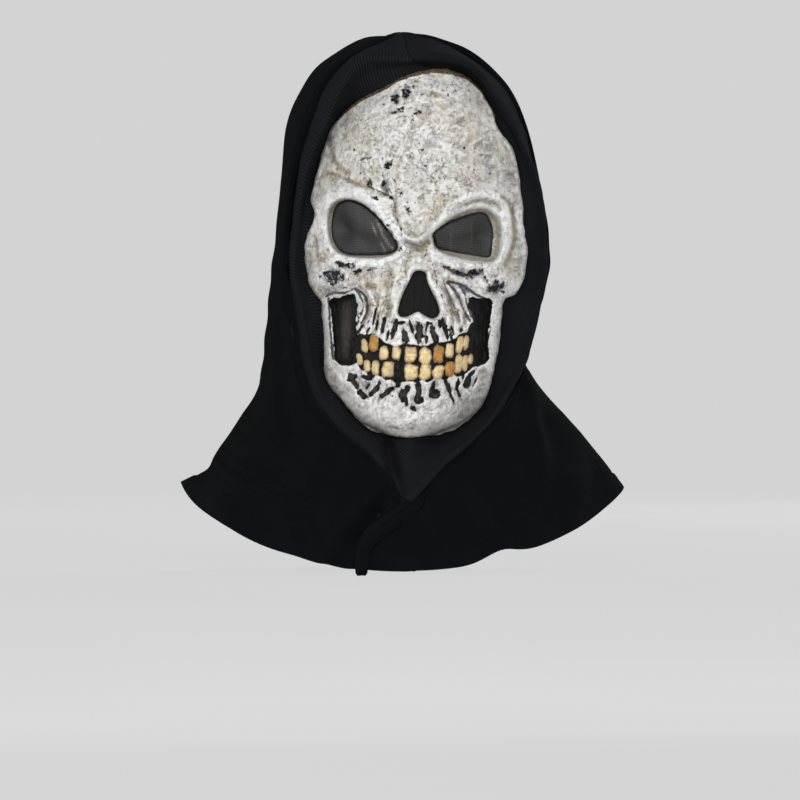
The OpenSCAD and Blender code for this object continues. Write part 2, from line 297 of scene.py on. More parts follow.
# Raised strands and sunk grooves: height towards the front, half width, points
STRANDS = [
    (5.5, 6, [(-67, 14), (-62, 22), (-50, 25.5), (-38, 21), (-27, 12), (-19, 2), (-13, -7)]),
    (6.0, 3.9, [(9, -1), (15, 8), (21, 17), (30, 24), (41, 28), (52, 26.5), (59, 20), (62.5, 8),
                (62, -6), (59, -16)]),
    (2.8, 1.6, [(-14, 2), (-11, -2), (-7, -5), (-2, -6.5), (2, -5), (6, -1.5), (11, 2)]),
    (-3.2, 3.2, [(-8, -9), (0, -11), (8, -8)]),
    (3.0, 4.0, [(-9, -12), (-12, -30), (-14, -45), (-13, -58)]),
    (3.0, 4.0, [(9, -12), (13, -30), (19, -45), (21, -56)]),
    (2.5, 4.0, [(-60, -23), (-48, -25), (-38, -25), (-24, -24)]),
    (2.0, 3.0, [(12, -17), (25, -22), (40, -22), (54, -22)]),
    (-2.2, 1.6, [(19, -23), (27, -27), (36, -28), (46, -25)]),
    (2.6, 2.6, [(-50, -43), (-43, -44), (-38.5, -48), (-36.5, -55), (-37.5, -62), (-38.5, -70)]),
    (-2.6, 1.7, [(-38, -42), (-34, -46), (-32, -53), (-32.5, -60), (-36, -67)]),
    (1.6, 1.8, [(-32, -44), (-29, -51), (-28, -60), (-30, -68)]),
    (2.4, 2.2, [(30, -38), (36, -44), (39.5, -52), (40, -60), (37, -66)]),
    (-2.6, 1.5, [(26, -37), (32, -46), (36, -54), (36.5, -62)]),
    (-2.2, 1.5, [(21, -38), (27, -50), (32, -60)]),
    (-2.4, 1.8, [(23, -33.5), (30, -35), (38, -38), (44, -42)]),
    (1.6, 1.6, [(24, -38), (30, -49), (34, -60)]),
    (-3.0, 2.0, [(58, 28), (63, 24), (66.5, 14), (68, 4), (66, -8), (62, -18)]),
    (-2.6, 1.5, [(32, 21), (42, 25), (52, 24), (57, 20)]),
    (-1.8, 1.5, [(-66, 39), (-58, 37), (-50, 33), (-43, 30), (-35, 28), (-25, 24)]),
    (-1.4, 1.2, [(-25, 24), (-18, 20), (-16, 10), (-13, 2)]),
    (-1.0, 0.9, [(-18, 32), (-17, 22), (-18, 12), (-14, 5), (-10, -3)]),
    (-1.0, 1.0, [(-6, -17), (-7.8, -25), (-6, -33)]),
    (-2.2, 2.4, [(-67, 64), (-64, 52), (-60, 45), (-53, 39)]),
    (-1.2, 1.4, [(46, -20), (46.5, -26), (50, -32)]),
    (-2.0, 1.8, [(-72, -10), (-70, -20), (-68, -30)]),
    (-1.6, 1.6, [(-62, -46), (-58, -43), (-52, -42)]),
    (2.0, 3.0, [(-62, -52), (-60, -75), (-57.5, -95), (-50, -106)]),
    (2.0, 3.0, [(58, -48), (57.5, -75), (57, -92)]),
]
# Round bumps and hollows: x, z, half width, half height, height towards the front, tilt
BUMPS = [
    (-36, 25, 22, 9, 5, 0), (38, 31, 22, 8, 5, 0), (-2, 7, 13, 14, 3.5, 0), (1.5, -24, 8, 14, 7, 0),
    (-62, -33, 15, 11, 8, 0), (61, -32, 15, 10, 8, 0), (0, -14, 10, 5, -3, 0), (*TEMPLES[0], -4, 0),
    (*TEMPLES[1], -4, 0), (-32, -40, 5, 3.5, -4, 0), (-20, -37, 4, 7, -2.5, 0), (3, -90, 34, 24, 5, 0),
    (0, -131, 30, 10, 5, 0), (-48, -110, 10, 12, 3, 30), (47, -110, 10, 12, 3, -30),
    (20, 75, 22, 18, 2, 0), (-25, 70, 22, 20, 2, 0), (-2, 55, 8, 14, -1.5, 0), (0, -113, 40, 7, -3.5, 0),
    (-74, -28, 6, 14, -3, 0), (-40, -35, 10, 5, -2.5, 15), (14, -32, 5, 10, -2, 20),
    (0, -67, 26, 9, 1.5, 0), (4, 100, 20, 9, -1.2, 0), (44, 58, 10, 14, -1.5, 0),
    (-48, 66, 14, 9, -1.2, 20),
]
# Small pits and gouges that the paint fills with black: x, z, half width, half height, tilt
CHIPS = [
    (-22, 92, 3.2, 5.0, 10), (-20, 95, 2, 2, 0), (-14, 97, 3.4, 4.4, -20), (-12, 100.5, 3.6, 1.2, 25),
    (-4, 96.5, 1.6, 1.4, -30), (-21, 82.5, 6, 1.1, 10), (-17, 85.5, 2.6, 1.6, 20),
    (-6.5, 83, 2.6, 1.1, 20), (-3, 82.6, 1, 1, 0), (-15, 103, 0.9, 0.8, 0), (-8, 106, 1.1, 0.9, 0),
    (-3, 105, 1.2, 0.7, -30), (11, 101, 0.8, 1.4, 0), (15, 97.5, 1, 0.9, 0), (20, 100.5, 0.7, 0.7, 0),
    (18, 106, 1.2, 0.8, 30), (-18, 79.3, 4, 0.6, 12), (-27, 37.5, 1.5, 1.4, 0),
    (-26, 31.5, 2.2, 2.6, -20), (-22, 23, 2.2, 1.3, -20), (-14, 25.5, 1.6, 2.6, -35),
    (-32, 21.5, 3.2, 1.1, -8), (-20, 16, 1.1, 1, 0), (-36, 32, 1.8, 2.6, 10), (-8, 14, 1.7, 3.4, 35),
    (-12.5, 1, 1.5, 2.2, 30), (-16, 28, 1.2, 0.8, 0), (25, 25.5, 1.2, 0.9, 0), (42, 25, 0.8, 0.7, 0),
    (52, 24, 0.7, 0.6, 0), (-59, 25, 1, 0.7, 0), (-40, 49.5, 3, 0.9, 15), (-21, 51.5, 2.6, 0.8, -12),
    (-2, 57, 2, 0.9, 15), (-9, 51, 1.8, 1.2, 40), (-24, 45, 3, 3.5, -30), (-12, 43.5, 1.2, 0.9, 0),
    (-44, 38, 1.2, 0.8, 0), (-19, -3, 1.2, 5.4, 42), (-21, 3, 1.4, 1.4, 0), (-15, -8, 1.2, 2.6, 30),
    (-54, -25.5, 4.6, 2.3, -22), (-46, -27, 3.6, 3.2, 0), (-41, -30, 4, 2, 20), (-33, -28, 6, 0.8, 3),
    (-63, -33, 2.6, 3.2, 20), (-56, -32, 3.4, 2.6, -30), (-58, -38, 4, 2.4, 10), (-52, -35, 2.4, 2.6, 0),
    (-67, -35, 1.3, 1.6, 0), (22, -23.5, 3.4, 1, -18), (31, -27, 5, 1.9, -14), (40, -26, 3.6, 2.4, 0),
    (44, -23.5, 2.4, 1.8, 0), (37, -30, 3.4, 1.4, 0), (46, -24, 0.7, 4.6, 5), (49, -29.5, 0.8, 3.4, 32),
    (55, -36, 4, 2.6, 20), (61, -33, 2.6, 2.8, 0), (57, -31, 2.2, 1.8, 0), (62, -38, 2.4, 1.2, 0),
    (57, -27, 1.4, 1.2, 0), (52, -38, 1.8, 1.2, 0), (-61, -43, 1.6, 1.6, 0), (-38, -62, 0.9, 5, -10),
    (62, 33, 2.0, 0.6, -20), (6, -15, 0.8, 2.4, -20), (-12, -13, 2.2, 1, 20), (-60, 42, 1.1, 0.8, 0),
    (59, 40, 0.8, 0.7, 0), (48, 44, 0.8, 1.0, 0), (-48, 55, 0.9, 0.7, 0), (-34, 60, 0.8, 1.1, 0),
    (28, 60, 0.9, 0.7, 0), (36, 46, 0.8, 1.2, 0), (2, 46, 1.1, 0.7, 0), (-30, 88, 1.1, 0.7, 20),
    (-38, 72, 0.8, 0.8, 0), (8, 38, 0.8, 0.8, 0), (14, 52, 0.7, 0.9, 0),
]
# Dark grooves between the roots of the teeth: x, z, half width, half height, tilt
ROOTS = [
    (-20.5, -67, 1.5, 6.5, -8), (-13, -69.5, 2.1, 7, -10), (-5, -73.5, 2.6, 5.6, 14),
    (-9, -64.5, 3.8, 1.1, 10), (-1, -67, 1.0, 6, 20), (5, -71.5, 2.7, 9, 0), (9.5, -67, 1.0, 6, -6),
    (15, -71, 2.3, 7.6, 22), (22.5, -66.5, 1.7, 7, 20), (18.5, -63, 1.2, 3.8, 15),
    (-17, -73, 0.8, 4, -10), (27, -71, 1.0, 5, 18), (-25, -66, 0.9, 5, -6), (10, -75, 1.2, 3, 0),
    (12, -63.5, 2.4, 0.9, -10), (-36.5, -70, 1.1, 3.6, -30), (-27, -60, 0.8, 7, -8),
    (-31, -71, 0.9, 3, -20), (28, -68, 0.9, 4, 20), (34, -67, 1.2, 2, 0), (-41, -104, 3.4, 3.2, 30),
    (-38, -109, 2.0, 4.4, 40), (-33, -116, 2.2, 4.0, 35), (-30, -104, 3.6, 1.6, -20),
    (-29, -110, 1.2, 3.2, -30), (-24, -112.5, 1.9, 6.4, -34), (-21, -107, 1.6, 2, 0),
    (-15.5, -113.5, 1.8, 6.8, -45), (-4, -114.5, 3.2, 4.6, -14), (-1.5, -110, 2.4, 2.0, 0),
    (-1.5, -118, 1.2, 4, 10), (6.4, -111, 2.2, 6.5, 0), (7, -117, 3.4, 3.4, 0),
    (4, -123.5, 2.6, 1.6, -20), (16.6, -107, 1.3, 4.4, -6), (18, -113, 3.6, 3.4, 15),
    (15, -111, 1.6, 2.2, 0), (27, -107, 2.0, 5, 24), (30, -114, 1.0, 4.4, 25),
    (33.4, -105, 1.3, 4.6, -12), (35, -111.5, 1.1, 4.8, 28), (40.5, -103.5, 2.6, 4.6, -10),
    (43, -97, 1.4, 5, -40), (46, -102, 0.8, 4, -20), (37, -100, 0.8, 3, -10), (-8, -107, 2.0, 2.6, 0),
]
# Teeth: x, z, half width, half height, tilt, how rusty
TEETH = [
    (-33, -81.5, 2.1, 4.6, 14, 0), (-26.5, -79.5, 3.1, 5.8, 5, 1), (-19, -86, 3, 4.4, 3, 0),
    (-10.5, -86, 3, 4.5, 2, 0), (-0.5, -86.5, 3.9, 5.4, 0, 0.06), (9.5, -86.5, 4.3, 5.4, 0, 0),
    (19, -84.5, 3.4, 5.8, -4, 1), (26.5, -82, 3, 4.9, -6, 0), (33.5, -77, 2.5, 6.5, -6, 0),
    (38, -75, 1.7, 5.5, -4, 0.2), (-36, -91, 2, 4, 16, 0), (-30.5, -95.5, 2.1, 4.2, 10, 0.05),
    (-24.5, -97, 2.6, 5, 3, 0), (-15.5, -97.5, 4, 5.4, 0, 0), (0.5, -98.5, 4.5, 5.3, 0, 0),
    (10.5, -97.5, 3.9, 5.2, 0, 0), (19.5, -97, 3.6, 4.6, -3, 0), (27.5, -94.5, 3.1, 5, -4, 1),
    (33.5, -91, 2.4, 6.2, -3, 0), (38, -90, 1.9, 5.4, -3, 0.15), (42, -86.5, 1.5, 3.5, -4, 0.3),
]
TEETH_TOP = [(-46, -84), (-40, -76), (-30, -72), (-24, -75), (-20, -79), (-10, -80), (10, -79),
             (20, -77), (28, -75), (32, -69), (40, -68), (46, -80)]
TEETH_BOTTOM = [(-46, -90), (-38, -96), (-32, -100), (-25, -104), (-18, -103), (-12, -104), (-8, -109),
                (-4, -105), (12, -104.5), (17, -101), (25, -101), (32, -99), (40, -96), (46, -90)]


def socket_walls(x, z, rim, hole, depth):
    """How far a socket's wall is sunk between its rim and the hole in its floor."""
    rim_gap = outline_distance(x, z, spline(rim, 5, True))
    hole_gap = outline_distance(x, z, spline(hole, 5, True))
    t = np.clip(-rim_gap / (np.abs(rim_gap) + np.abs(hole_gap) + 1e-6), 0, 1)
    t = np.where(rim_gap > 0, 0, np.where(hole_gap < 0, 1, t))
    return depth * (0.25 * t + 0.75 * smooth(0, 1, t)), rim_gap, hole_gap


def shape_face(x, z):
    """Depth of the latex's front and every painted field, at the points of a grid."""
    out = np.zeros(x.shape)
    for height, width, path in STRANDS:
        out += height * ridge(x, z, path, width)
    for cx, cz, rx, rz, height, tilt in BUMPS:
        out += height * bump(x, z, cx, cz, rx, rz, tilt)

    # eye sockets
    left_wall, left_rim, left_hole = socket_walls(x, z, LEFT_RIM, LEFT_HOLE, 11.5)
    right_wall, right_rim, right_hole = socket_walls(x, z, RIGHT_RIM, RIGHT_HOLE, 12.5)
    out -= left_wall + right_wall
    socket = np.maximum(smooth(0.3, -1.2, left_rim), smooth(0.3, -1.2, right_rim))

    # nose: a pale lip round the opening
    nose_gap = outline_distance(x, z, spline(NOSE_HOLE, 4, True))
    lip = np.exp(-((nose_gap - 2.2) / 1.7) ** 2)
    out += 2.0 * lip - 2.6 * np.exp(-np.maximum(nose_gap, 0) / 0.9)

    # cheek recesses, with ragged edges
    rough = noise(x, z, 3.2, 11, 3)
    recess = np.full(x.shape, 9.0)
    for path in (LEFT_RECESS, RIGHT_RECESS):
        recess = np.minimum(recess, outline_distance(x, z, spline(path, 4, True)))
    recess = recess + 0.9 * rough * smooth(-3, 0, recess)
    out -= 11 * smooth(0.4, -3.6, recess)
    out += 3.5 * bump(x, z, -47.5, -72, 3.6, 26) * smooth(-2, -5, recess)

    # rows of teeth in their dark band
    top, bottom = soft_table(TEETH_TOP, x, 1.5), soft_table(TEETH_BOTTOM, x, 1.2)
    ends = np.maximum(-43 - x, x - 45.5)
    scallop = 1.5 * noise(x, 0 * z + 9 * np.sign(z + 90), 5.2, 93, 2)
    band = np.maximum(np.maximum(z - top, bottom - z) + scallop, ends) + 0.6 * rough
    out -= 3.4 * smooth(0.9, -1.3, band)
    tooth, rust, tooth_rise = np.zeros(x.shape), np.zeros(x.shape), np.zeros(x.shape)
    for i, (cx, cz, hw, hh, tilt, rusty) in enumerate(TEETH):
        wobble = 0.15 * noise(x, z, 3.4, 40 + i, 2)
        c = cell(x, z, cx, cz, hw * 1.03, hh * 1.03, tilt, 3.1) + wobble
        inner = smooth(1.1, 0.82, c)
        tooth_rise = np.maximum(tooth_rise, 3.3 * inner + 0.9 * (1 - np.minimum(c, 1) ** 2))
        tooth = np.maximum(tooth, np.clip(0.5 + (1.0 - c) * 2.2, 0, 1))
        rust = np.where(c < 1.2, rusty, rust)
    out += tooth_rise

    # roots and the pits that hold black paint
    root = blots(x, z, ROOTS, 1.6, 2.2, 0.36 * rough)
    out -= 2.2 * smooth(0.1, 0.9, root)
    chip = blots(x, z, CHIPS, 1.8, 2.0, 0.42 * noise(x, z, 2.4, 71, 3))
    out -= 0.8 * smooth(0.2, 0.9, chip)

    # aged surface: broad dents, wrinkles and fine pits, kept off the teeth and the black
    plain = (1 - tooth) * (1 - smooth(1, -1, recess)) * (1 - 0.6 * socket)
    bend = noise(x, z, 26, 5, 3)
    wrinkles = 1 - np.abs(noise(x + 6 * bend, z + 7 * bend, 10, 21, 4)) * 2.2
    out += plain * (0.9 * bend + 0.6 * wrinkles + 0.36 * noise(x, z, 3.4, 31, 3))
    pits = noise(x, z, 4.2, 35, 2)
    out -= plain * 0.9 * smooth(0.62, 0.95, pits)
    # upright striations over the upper jaw and round the nose
    jaw = bump(x, z, -22, -57, 12, 16) + bump(x, z, 24, -57, 12, 16) + 0.7 * bump(x, z, 0, -112, 45, 12)
    slant = x + np.sign(x) * (z + 57) * 0.16
    striation = noise(slant * 3.2, z * 0.45, 5.5, 87, 3)
    out += 1.2 * np.minimum(jaw, 1) * striation * plain

    black = np.maximum(np.clip(0.5 - recess / 1.8, 0, 1), np.clip(0.5 - band / 1.8, 0, 1))
    black = np.maximum(np.minimum(black, 1 - tooth), root)
    deep_left = bump(x, z, -47, -73, 4.5, 22) * smooth(-1.5, -5, recess)
    gaps = {"left": left_hole, "right": right_hole, "nose": nose_gap}
    worn_roots = 0.85 * smooth(0.55, 1.0, root) * smooth(-0.35, 0.35, rough)
    fields = {"black": black, "chip": chip, "tooth": tooth, "rust": rust, "socket": socket,
              "grey_band": np.maximum(deep_left, worn_roots), "jaw": np.minimum(jaw, 1) * (1 - tooth),
              "striation": striation}
    return face_base(x, z) - out, gaps, fields


# ---------------------------------------------------------------- the face: stains and painted shade
# Patches of beige and rust-coloured paint, and grey patches that are partly grey paint and partly painted
# shade under the brows and eyes, at the face's sides and on the jaw: x, z, half width, half height, tilt,
# strength
BEIGE = [
    (-52, 70, 9, 14, 10, 0.75), (27, 76, 13, 13, 20, 0.7), (52, 62, 9, 16, 10, 0.75),
    (-38, 60, 9, 6, 20, 0.6), (5, 96, 5, 3, -30, 1.0), (11, 90, 4, 7, 20, 0.8), (19, 82, 4, 9, 15, 0.9),
    (26, 76, 5, 5, 0, 0.8), (14, 69, 3, 6, 35, 0.7), (34, 66, 8, 7, 0, 0.9), (31, 84, 4, 7, -30, 0.6),
    (40, 90, 4, 7, 20, 0.5), (38, 73, 5, 4, 0, 0.6), (35, 95, 5, 5, 0, 0.4), (3, 84, 6, 2, 20, 0.7),
    (28, 57, 8, 3, 10, 0.4), (-55, 66, 5, 3, 20, 0.9), (-46, 68, 3, 6, -10, 0.8),
    (-40, 62, 3, 5, 10, 1.0), (-34, 73, 3, 2, 0, 0.9), (-42, 78, 1.6, 5, 0, 0.5),
    (-64, 52, 3, 10, 12, 0.9), (-56, 42, 8, 4, -30, 0.9), (-66, 37, 7, 3, -10, 0.9),
    (-48, 34, 8, 3, -22, 0.7), (-38, 31, 5, 4, 0, 0.9), (12, 17, 4, 6, 0, 0.6), (14, 24, 5, 3, 20, 0.5),
    (8, 8, 2.4, 8, 10, 0.5), (-6, -2, 5, 2.4, 0, 0.7), (8, -14, 3.4, 9, -10, 0.9),
    (12, -30, 3, 8, 10, 0.8), (-3, -18, 3, 6, 0, 0.4), (45, 24, 14, 2.4, -3, 1.0),
    (64, 10, 3, 16, -5, 1.0), (64, -10, 3.4, 12, 15, 0.9), (57, 5, 2.6, 12, -6, 0.5),
    (-20, -36, 3.4, 7, 0, 1.0), (-32, -40, 5, 3.4, 0, 1.3), (-24, -57, 8, 14, 0, 0.9),
    (25, -57, 7, 13, 0, 0.9), (-15, -50, 3, 12, 5, 0.6), (19, -44, 3, 12, -14, 0.6),
    (-76, -16, 3, 5, 0, 0.8), (-70, -48, 6, 2, 0, 0.5), (-52, -112, 5, 10, 35, 0.6),
    (-40, -126, 6, 4, 35, 0.6), (14, -133, 10, 4, 0, 1.0), (-5, -138, 8, 3, 0, 0.9),
    (28, -130, 6, 5, 0, 0.7), (38, -126, 2, 6, 10, 0.8), (5, -124, 6, 2.4, 0, 1.0),
    (50, 58, 7, 7, 0, 0.6), (62, 52, 4, 12, 0, 0.5), (60, 66, 4, 4, 0, 0.6), (-60, 80, 6, 3, 30, 0.5),
    (30, 38, 10, 4, 0, 0.4), (0, 35, 3, 2, 0, 0.7), (-12, 33, 3, 2, 0, 0.4), (-66, 20, 6, 3, 0, 0.4),
]
GREY = [
    (-56, 73, 7, 6, 20, 0.9), (47, 57, 6, 11, 0, 0.8), (-63, 67, 3, 6, 10, 0.7), (64, 45, 4, 11, 0, 1.0),
    (70, 20, 4, 22, 0, 0.7), (72, -8, 4, 16, 0, 0.7), (-10, -9, 6, 4, 0, 1.0), (0, -11, 5, 3, 0, 0.7),
    (3, -19, 4, 3, 0, 0.6), (-24, 43, 6, 7, -30, 0.5), (-8, 14, 2, 3.6, 35, 0.9),
    (40, 100, 6, 6, -45, 0.5), (50, -108, 9, 18, -10, 1.3), (43, -118, 8, 9, 20, 1.1),
    (40, -108, 5, 8, 0, 0.9), (56, -95, 3, 10, 0, 0.6), (-38, -103, 8, 4, -20, 0.8),
    (-30, -107, 5, 5, 0, 1.0), (-77, 8, 3, 12, 0, 0.8), (-78, -20, 3, 12, 0, 0.8),
    (-48, -28, 8, 4, 0, 0.8), (36, -28, 11, 4, -6, 0.9), (34, -38, 8, 4, -20, 0.7),
    (58, -60, 2.4, 20, 0, 0.3), (-62, -68, 2, 22, 0, 0.4), (-3, -64, 14, 3, 0, 0.5),
    (-44, -38, 8, 4, 20, 0.5), (-20, 46, 8, 4, 0, 0.3), (-74, 30, 3, 14, 0, 0.5),
    (-24, -30, 5, 4, 30, 0.5), (0, -71, 22, 5, 0, 0.35), (57, -34, 8, 6, 0, 0.6),
    (-59, -34, 8, 7, 0, 0.5), (15, 88, 3, 5, 0, 0.5), (-5, 64, 9, 5, 0, 0.2), (24, -17, 10, 2, -12, 0.5),
]
RUST = [
    (-66.4, -22.6, 1.8, 2.2, 25, 1), (-64.6, -24.6, 1.4, 0.8, 10, 0.7), (-68.4, -13.5, 0.6, 1.6, 10, 0.6),
    (-62.6, -15.8, 1.0, 1.7, 25, 0.9), (-59, -34, 1.3, 1.2, 0, 0.8), (-7.2, -24, 0.5, 6.5, -4, 0.9),
    (-6.6, -30.5, 0.6, 3, 10, 0.9), (-35, -23.4, 2.5, 0.5, 0, 0.6), (-61, -44, 0.9, 1.6, 0, 0.6),
    (-40, 60.5, 1, 2, 10, 0.5), (-47, 62, 0.6, 4, 10, 0.5), (-24, -31, 1.6, 0.5, 30, 0.5),
    (38, -127, 0.6, 5, 0, 0.5), (-17.5, 18, 0.5, 5, 8, 0.6), (15, 97.5, 1, 0.8, 0, 0.5),
    (-52, 19.8, 1.6, 0.5, 0, 0.5), (12.5, 16, 1, 2.5, -15, 0.4), (-27, -20.6, 7, 0.5, 10, 0.7),
    (58, -17, 3.4, 0.6, 35, 0.6), (46, 20.5, 10, 0.5, -8, 0.5),
]
# Thin lines of dark paint left in the creases: half width, strength, line
INK = [
    (0.9, 0.9, [(-42, -42), (-36, -45.5), (-33, -51), (-32.5, -58), (-36, -66)]),
    (0.7, 0.9, [(-50, -42), (-43, -42.5), (-38, -47), (-35.6, -54), (-37, -62), (-40, -69)]),
    (0.6, 0.7, [(-30, -48), (-28.5, -56), (-30, -62), (-34, -69)]),
    (0.6, 0.6, [(-25, -45), (-26, -55), (-23.5, -64)]),
    (0.5, 0.5, [(-17, -45), (-17, -55), (-18, -62)]),
    (0.8, 0.9, [(-62, -48), (-57, -45.5), (-50, -45.5), (-43, -42.5)]),
    (0.9, 0.95, [(19, -23), (24, -25.5), (31, -28.5), (38, -28), (46, -24)]),
    (1.0, 1.0, [(23, -33.5), (30, -34.5), (36, -37), (42, -41), (48, -43)]),
    (0.9, 0.95, [(22, -34), (28, -40), (32, -46), (35, -53), (39.5, -60)]),
    (0.8, 0.9, [(31, -36), (35, -42), (37, -49), (41, -57)]),
    (0.7, 0.8, [(19, -33), (23.5, -42), (28, -51), (33, -60), (35, -67)]),
    (0.6, 0.6, [(14, -33), (19, -44), (23, -54), (27, -63)]),
    (0.6, 0.7, [(8, -13), (11, -22), (15, -32), (20, -42)]),
    (0.8, 0.85, [(-37, 29.6), (-29, 26.2), (-22, 23.5)]),
    (0.5, 0.75, [(-22, 23), (-18, 19), (-16.5, 11), (-13.5, 3), (-11, -5)]),
    (0.5, 0.8, [(-27, 38), (-24, 31), (-20, 24.5), (-17, 17)]),
    (0.4, 0.7, [(-29, 33), (-26, 27), (-23, 24)]),
    (0.45, 0.8, [(46, -19), (46.6, -25)]),
    (0.45, 0.8, [(47, -26), (50.5, -33)]),
    (0.5, 0.7, [(-39, -28.6), (-33, -27.5), (-27, -27)]),
    (0.6, 0.6, [(-23, -36), (-24, -31), (-20, -29), (-16.5, -33), (-16.5, -42)]),
    (0.5, 0.5, [(12, -20), (20, -23)]),
    (0.5, 0.6, [(-24, 3.6), (-19, -2), (-15, -9)]),
    (0.5, 0.55, [(-9, -8), (-3, -9.6), (4, -8.4), (9, -4.5)]),
    (0.5, 0.6, [(-12, -13), (-10, -22), (-12, -31)]),
    (0.45, 0.5, [(30, -120), (27, -112)]),
    (0.4, 0.5, [(-6, 60), (-9, 53), (-10, 49)]),
    (0.4, 0.45, [(34, 50), (37, 46), (36, 40)]),
    (0.5, 0.4, [(58, 34), (64, 30), (69, 22)]),
    (1.0, 0.95, [(-60.4, -50), (-59.2, -60), (-57.8, -72), (-56, -84), (-54.5, -92)]),
    (0.40, 0.95, [(-27.4, 41.4), (-25.5, 31.4), (-20.7, 22.8)]),
    (0.35, 0.9, [(-23.2, 42.8), (-24, 32.8), (-19.3, 22.8)]),
    (0.35, 0.85, [(-35.5, 34.3), (-31.2, 31.4), (-26.7, 28.5), (-21, 24)]),
    (0.35, 0.8, [(-28, 50), (-26.5, 44), (-22, 38), (-17.5, 33)]),
    (0.35, 0.8, [(-20.9, 50), (-22, 41.4), (-17.5, 32.8)]),
    (0.5, 0.8, [(53.5, -49), (54.6, -60), (53.6, -74), (54, -86)]),
]
# Areas where the white is rubbed through to black: x, z, half width, half height, tilt, strength
RUBBED = [
    (-58, -34, 9, 7.5, 0, 1.05), (-52, -26, 6, 3.2, -20, 0.95), (-45, -27, 5.5, 4, 0, 0.8),
    (-41, -31, 6, 3, 20, 0.7), (57, -35, 9.5, 6.5, 15, 1.0), (41, -27, 8, 4, 0, 0.9),
    (29, -27, 8, 2.6, -14, 0.9), (34, -38, 8, 4, -25, 0.8), (-24, 44, 4.5, 5.5, 30, 0.62),
    (-21, 93, 4, 6, 10, 0.95), (-14, 98, 3.4, 5.4, -25, 0.95), (-20, 83, 8, 2, 12, 0.9),
    (-26, 31, 4, 6, 10, 0.75), (-17, 22, 3, 4, 0, 0.6), (-19, -3, 2.4, 7, 42, 0.75),
    (-11, -9, 5, 3.6, 0, 0.62), (3, -67, 18, 6, 0, 0.72), (-33, -107, 9, 7, -25, 0.72),
    (42, -102, 5, 8, -20, 0.75), (-36, 32, 2.6, 3.4, 0, 0.7), (-40, 50, 4, 1.6, 15, 0.7),
    (55, -27, 5, 3, 0, 0.62), (5, -123, 6, 3, 0, 0.6), (-58, -46, 6, 2.6, 0, 0.85),
    (27, -44, 8, 8, -30, 0.55), (-38, -52, 4, 10, 0, 0.55), (38, -50, 3, 9, 10, 0.7),
    (-5, 83, 3.4, 1.8, 10, 0.8), (-8, 14, 2.4, 4, 35, 0.75), (24, -110, 14, 6, 0, 0.5),
    (-14, -110, 14, 5, 0, 0.5), (-60, 60, 3, 3, 0, 0.4), (6, -15, 3, 4, 0, 0.45), (18, -60, 8, 4, 0, 0.5),
]


def patches(x, z, table):
    """The soft patches of a table, one over another."""
    total = np.zeros(x.shape)
    for cx, cz, rx, rz, tilt, strength in table:
        total = np.maximum(total, strength * bump(x, z, cx, cz, rx, rz, tilt))
    return total


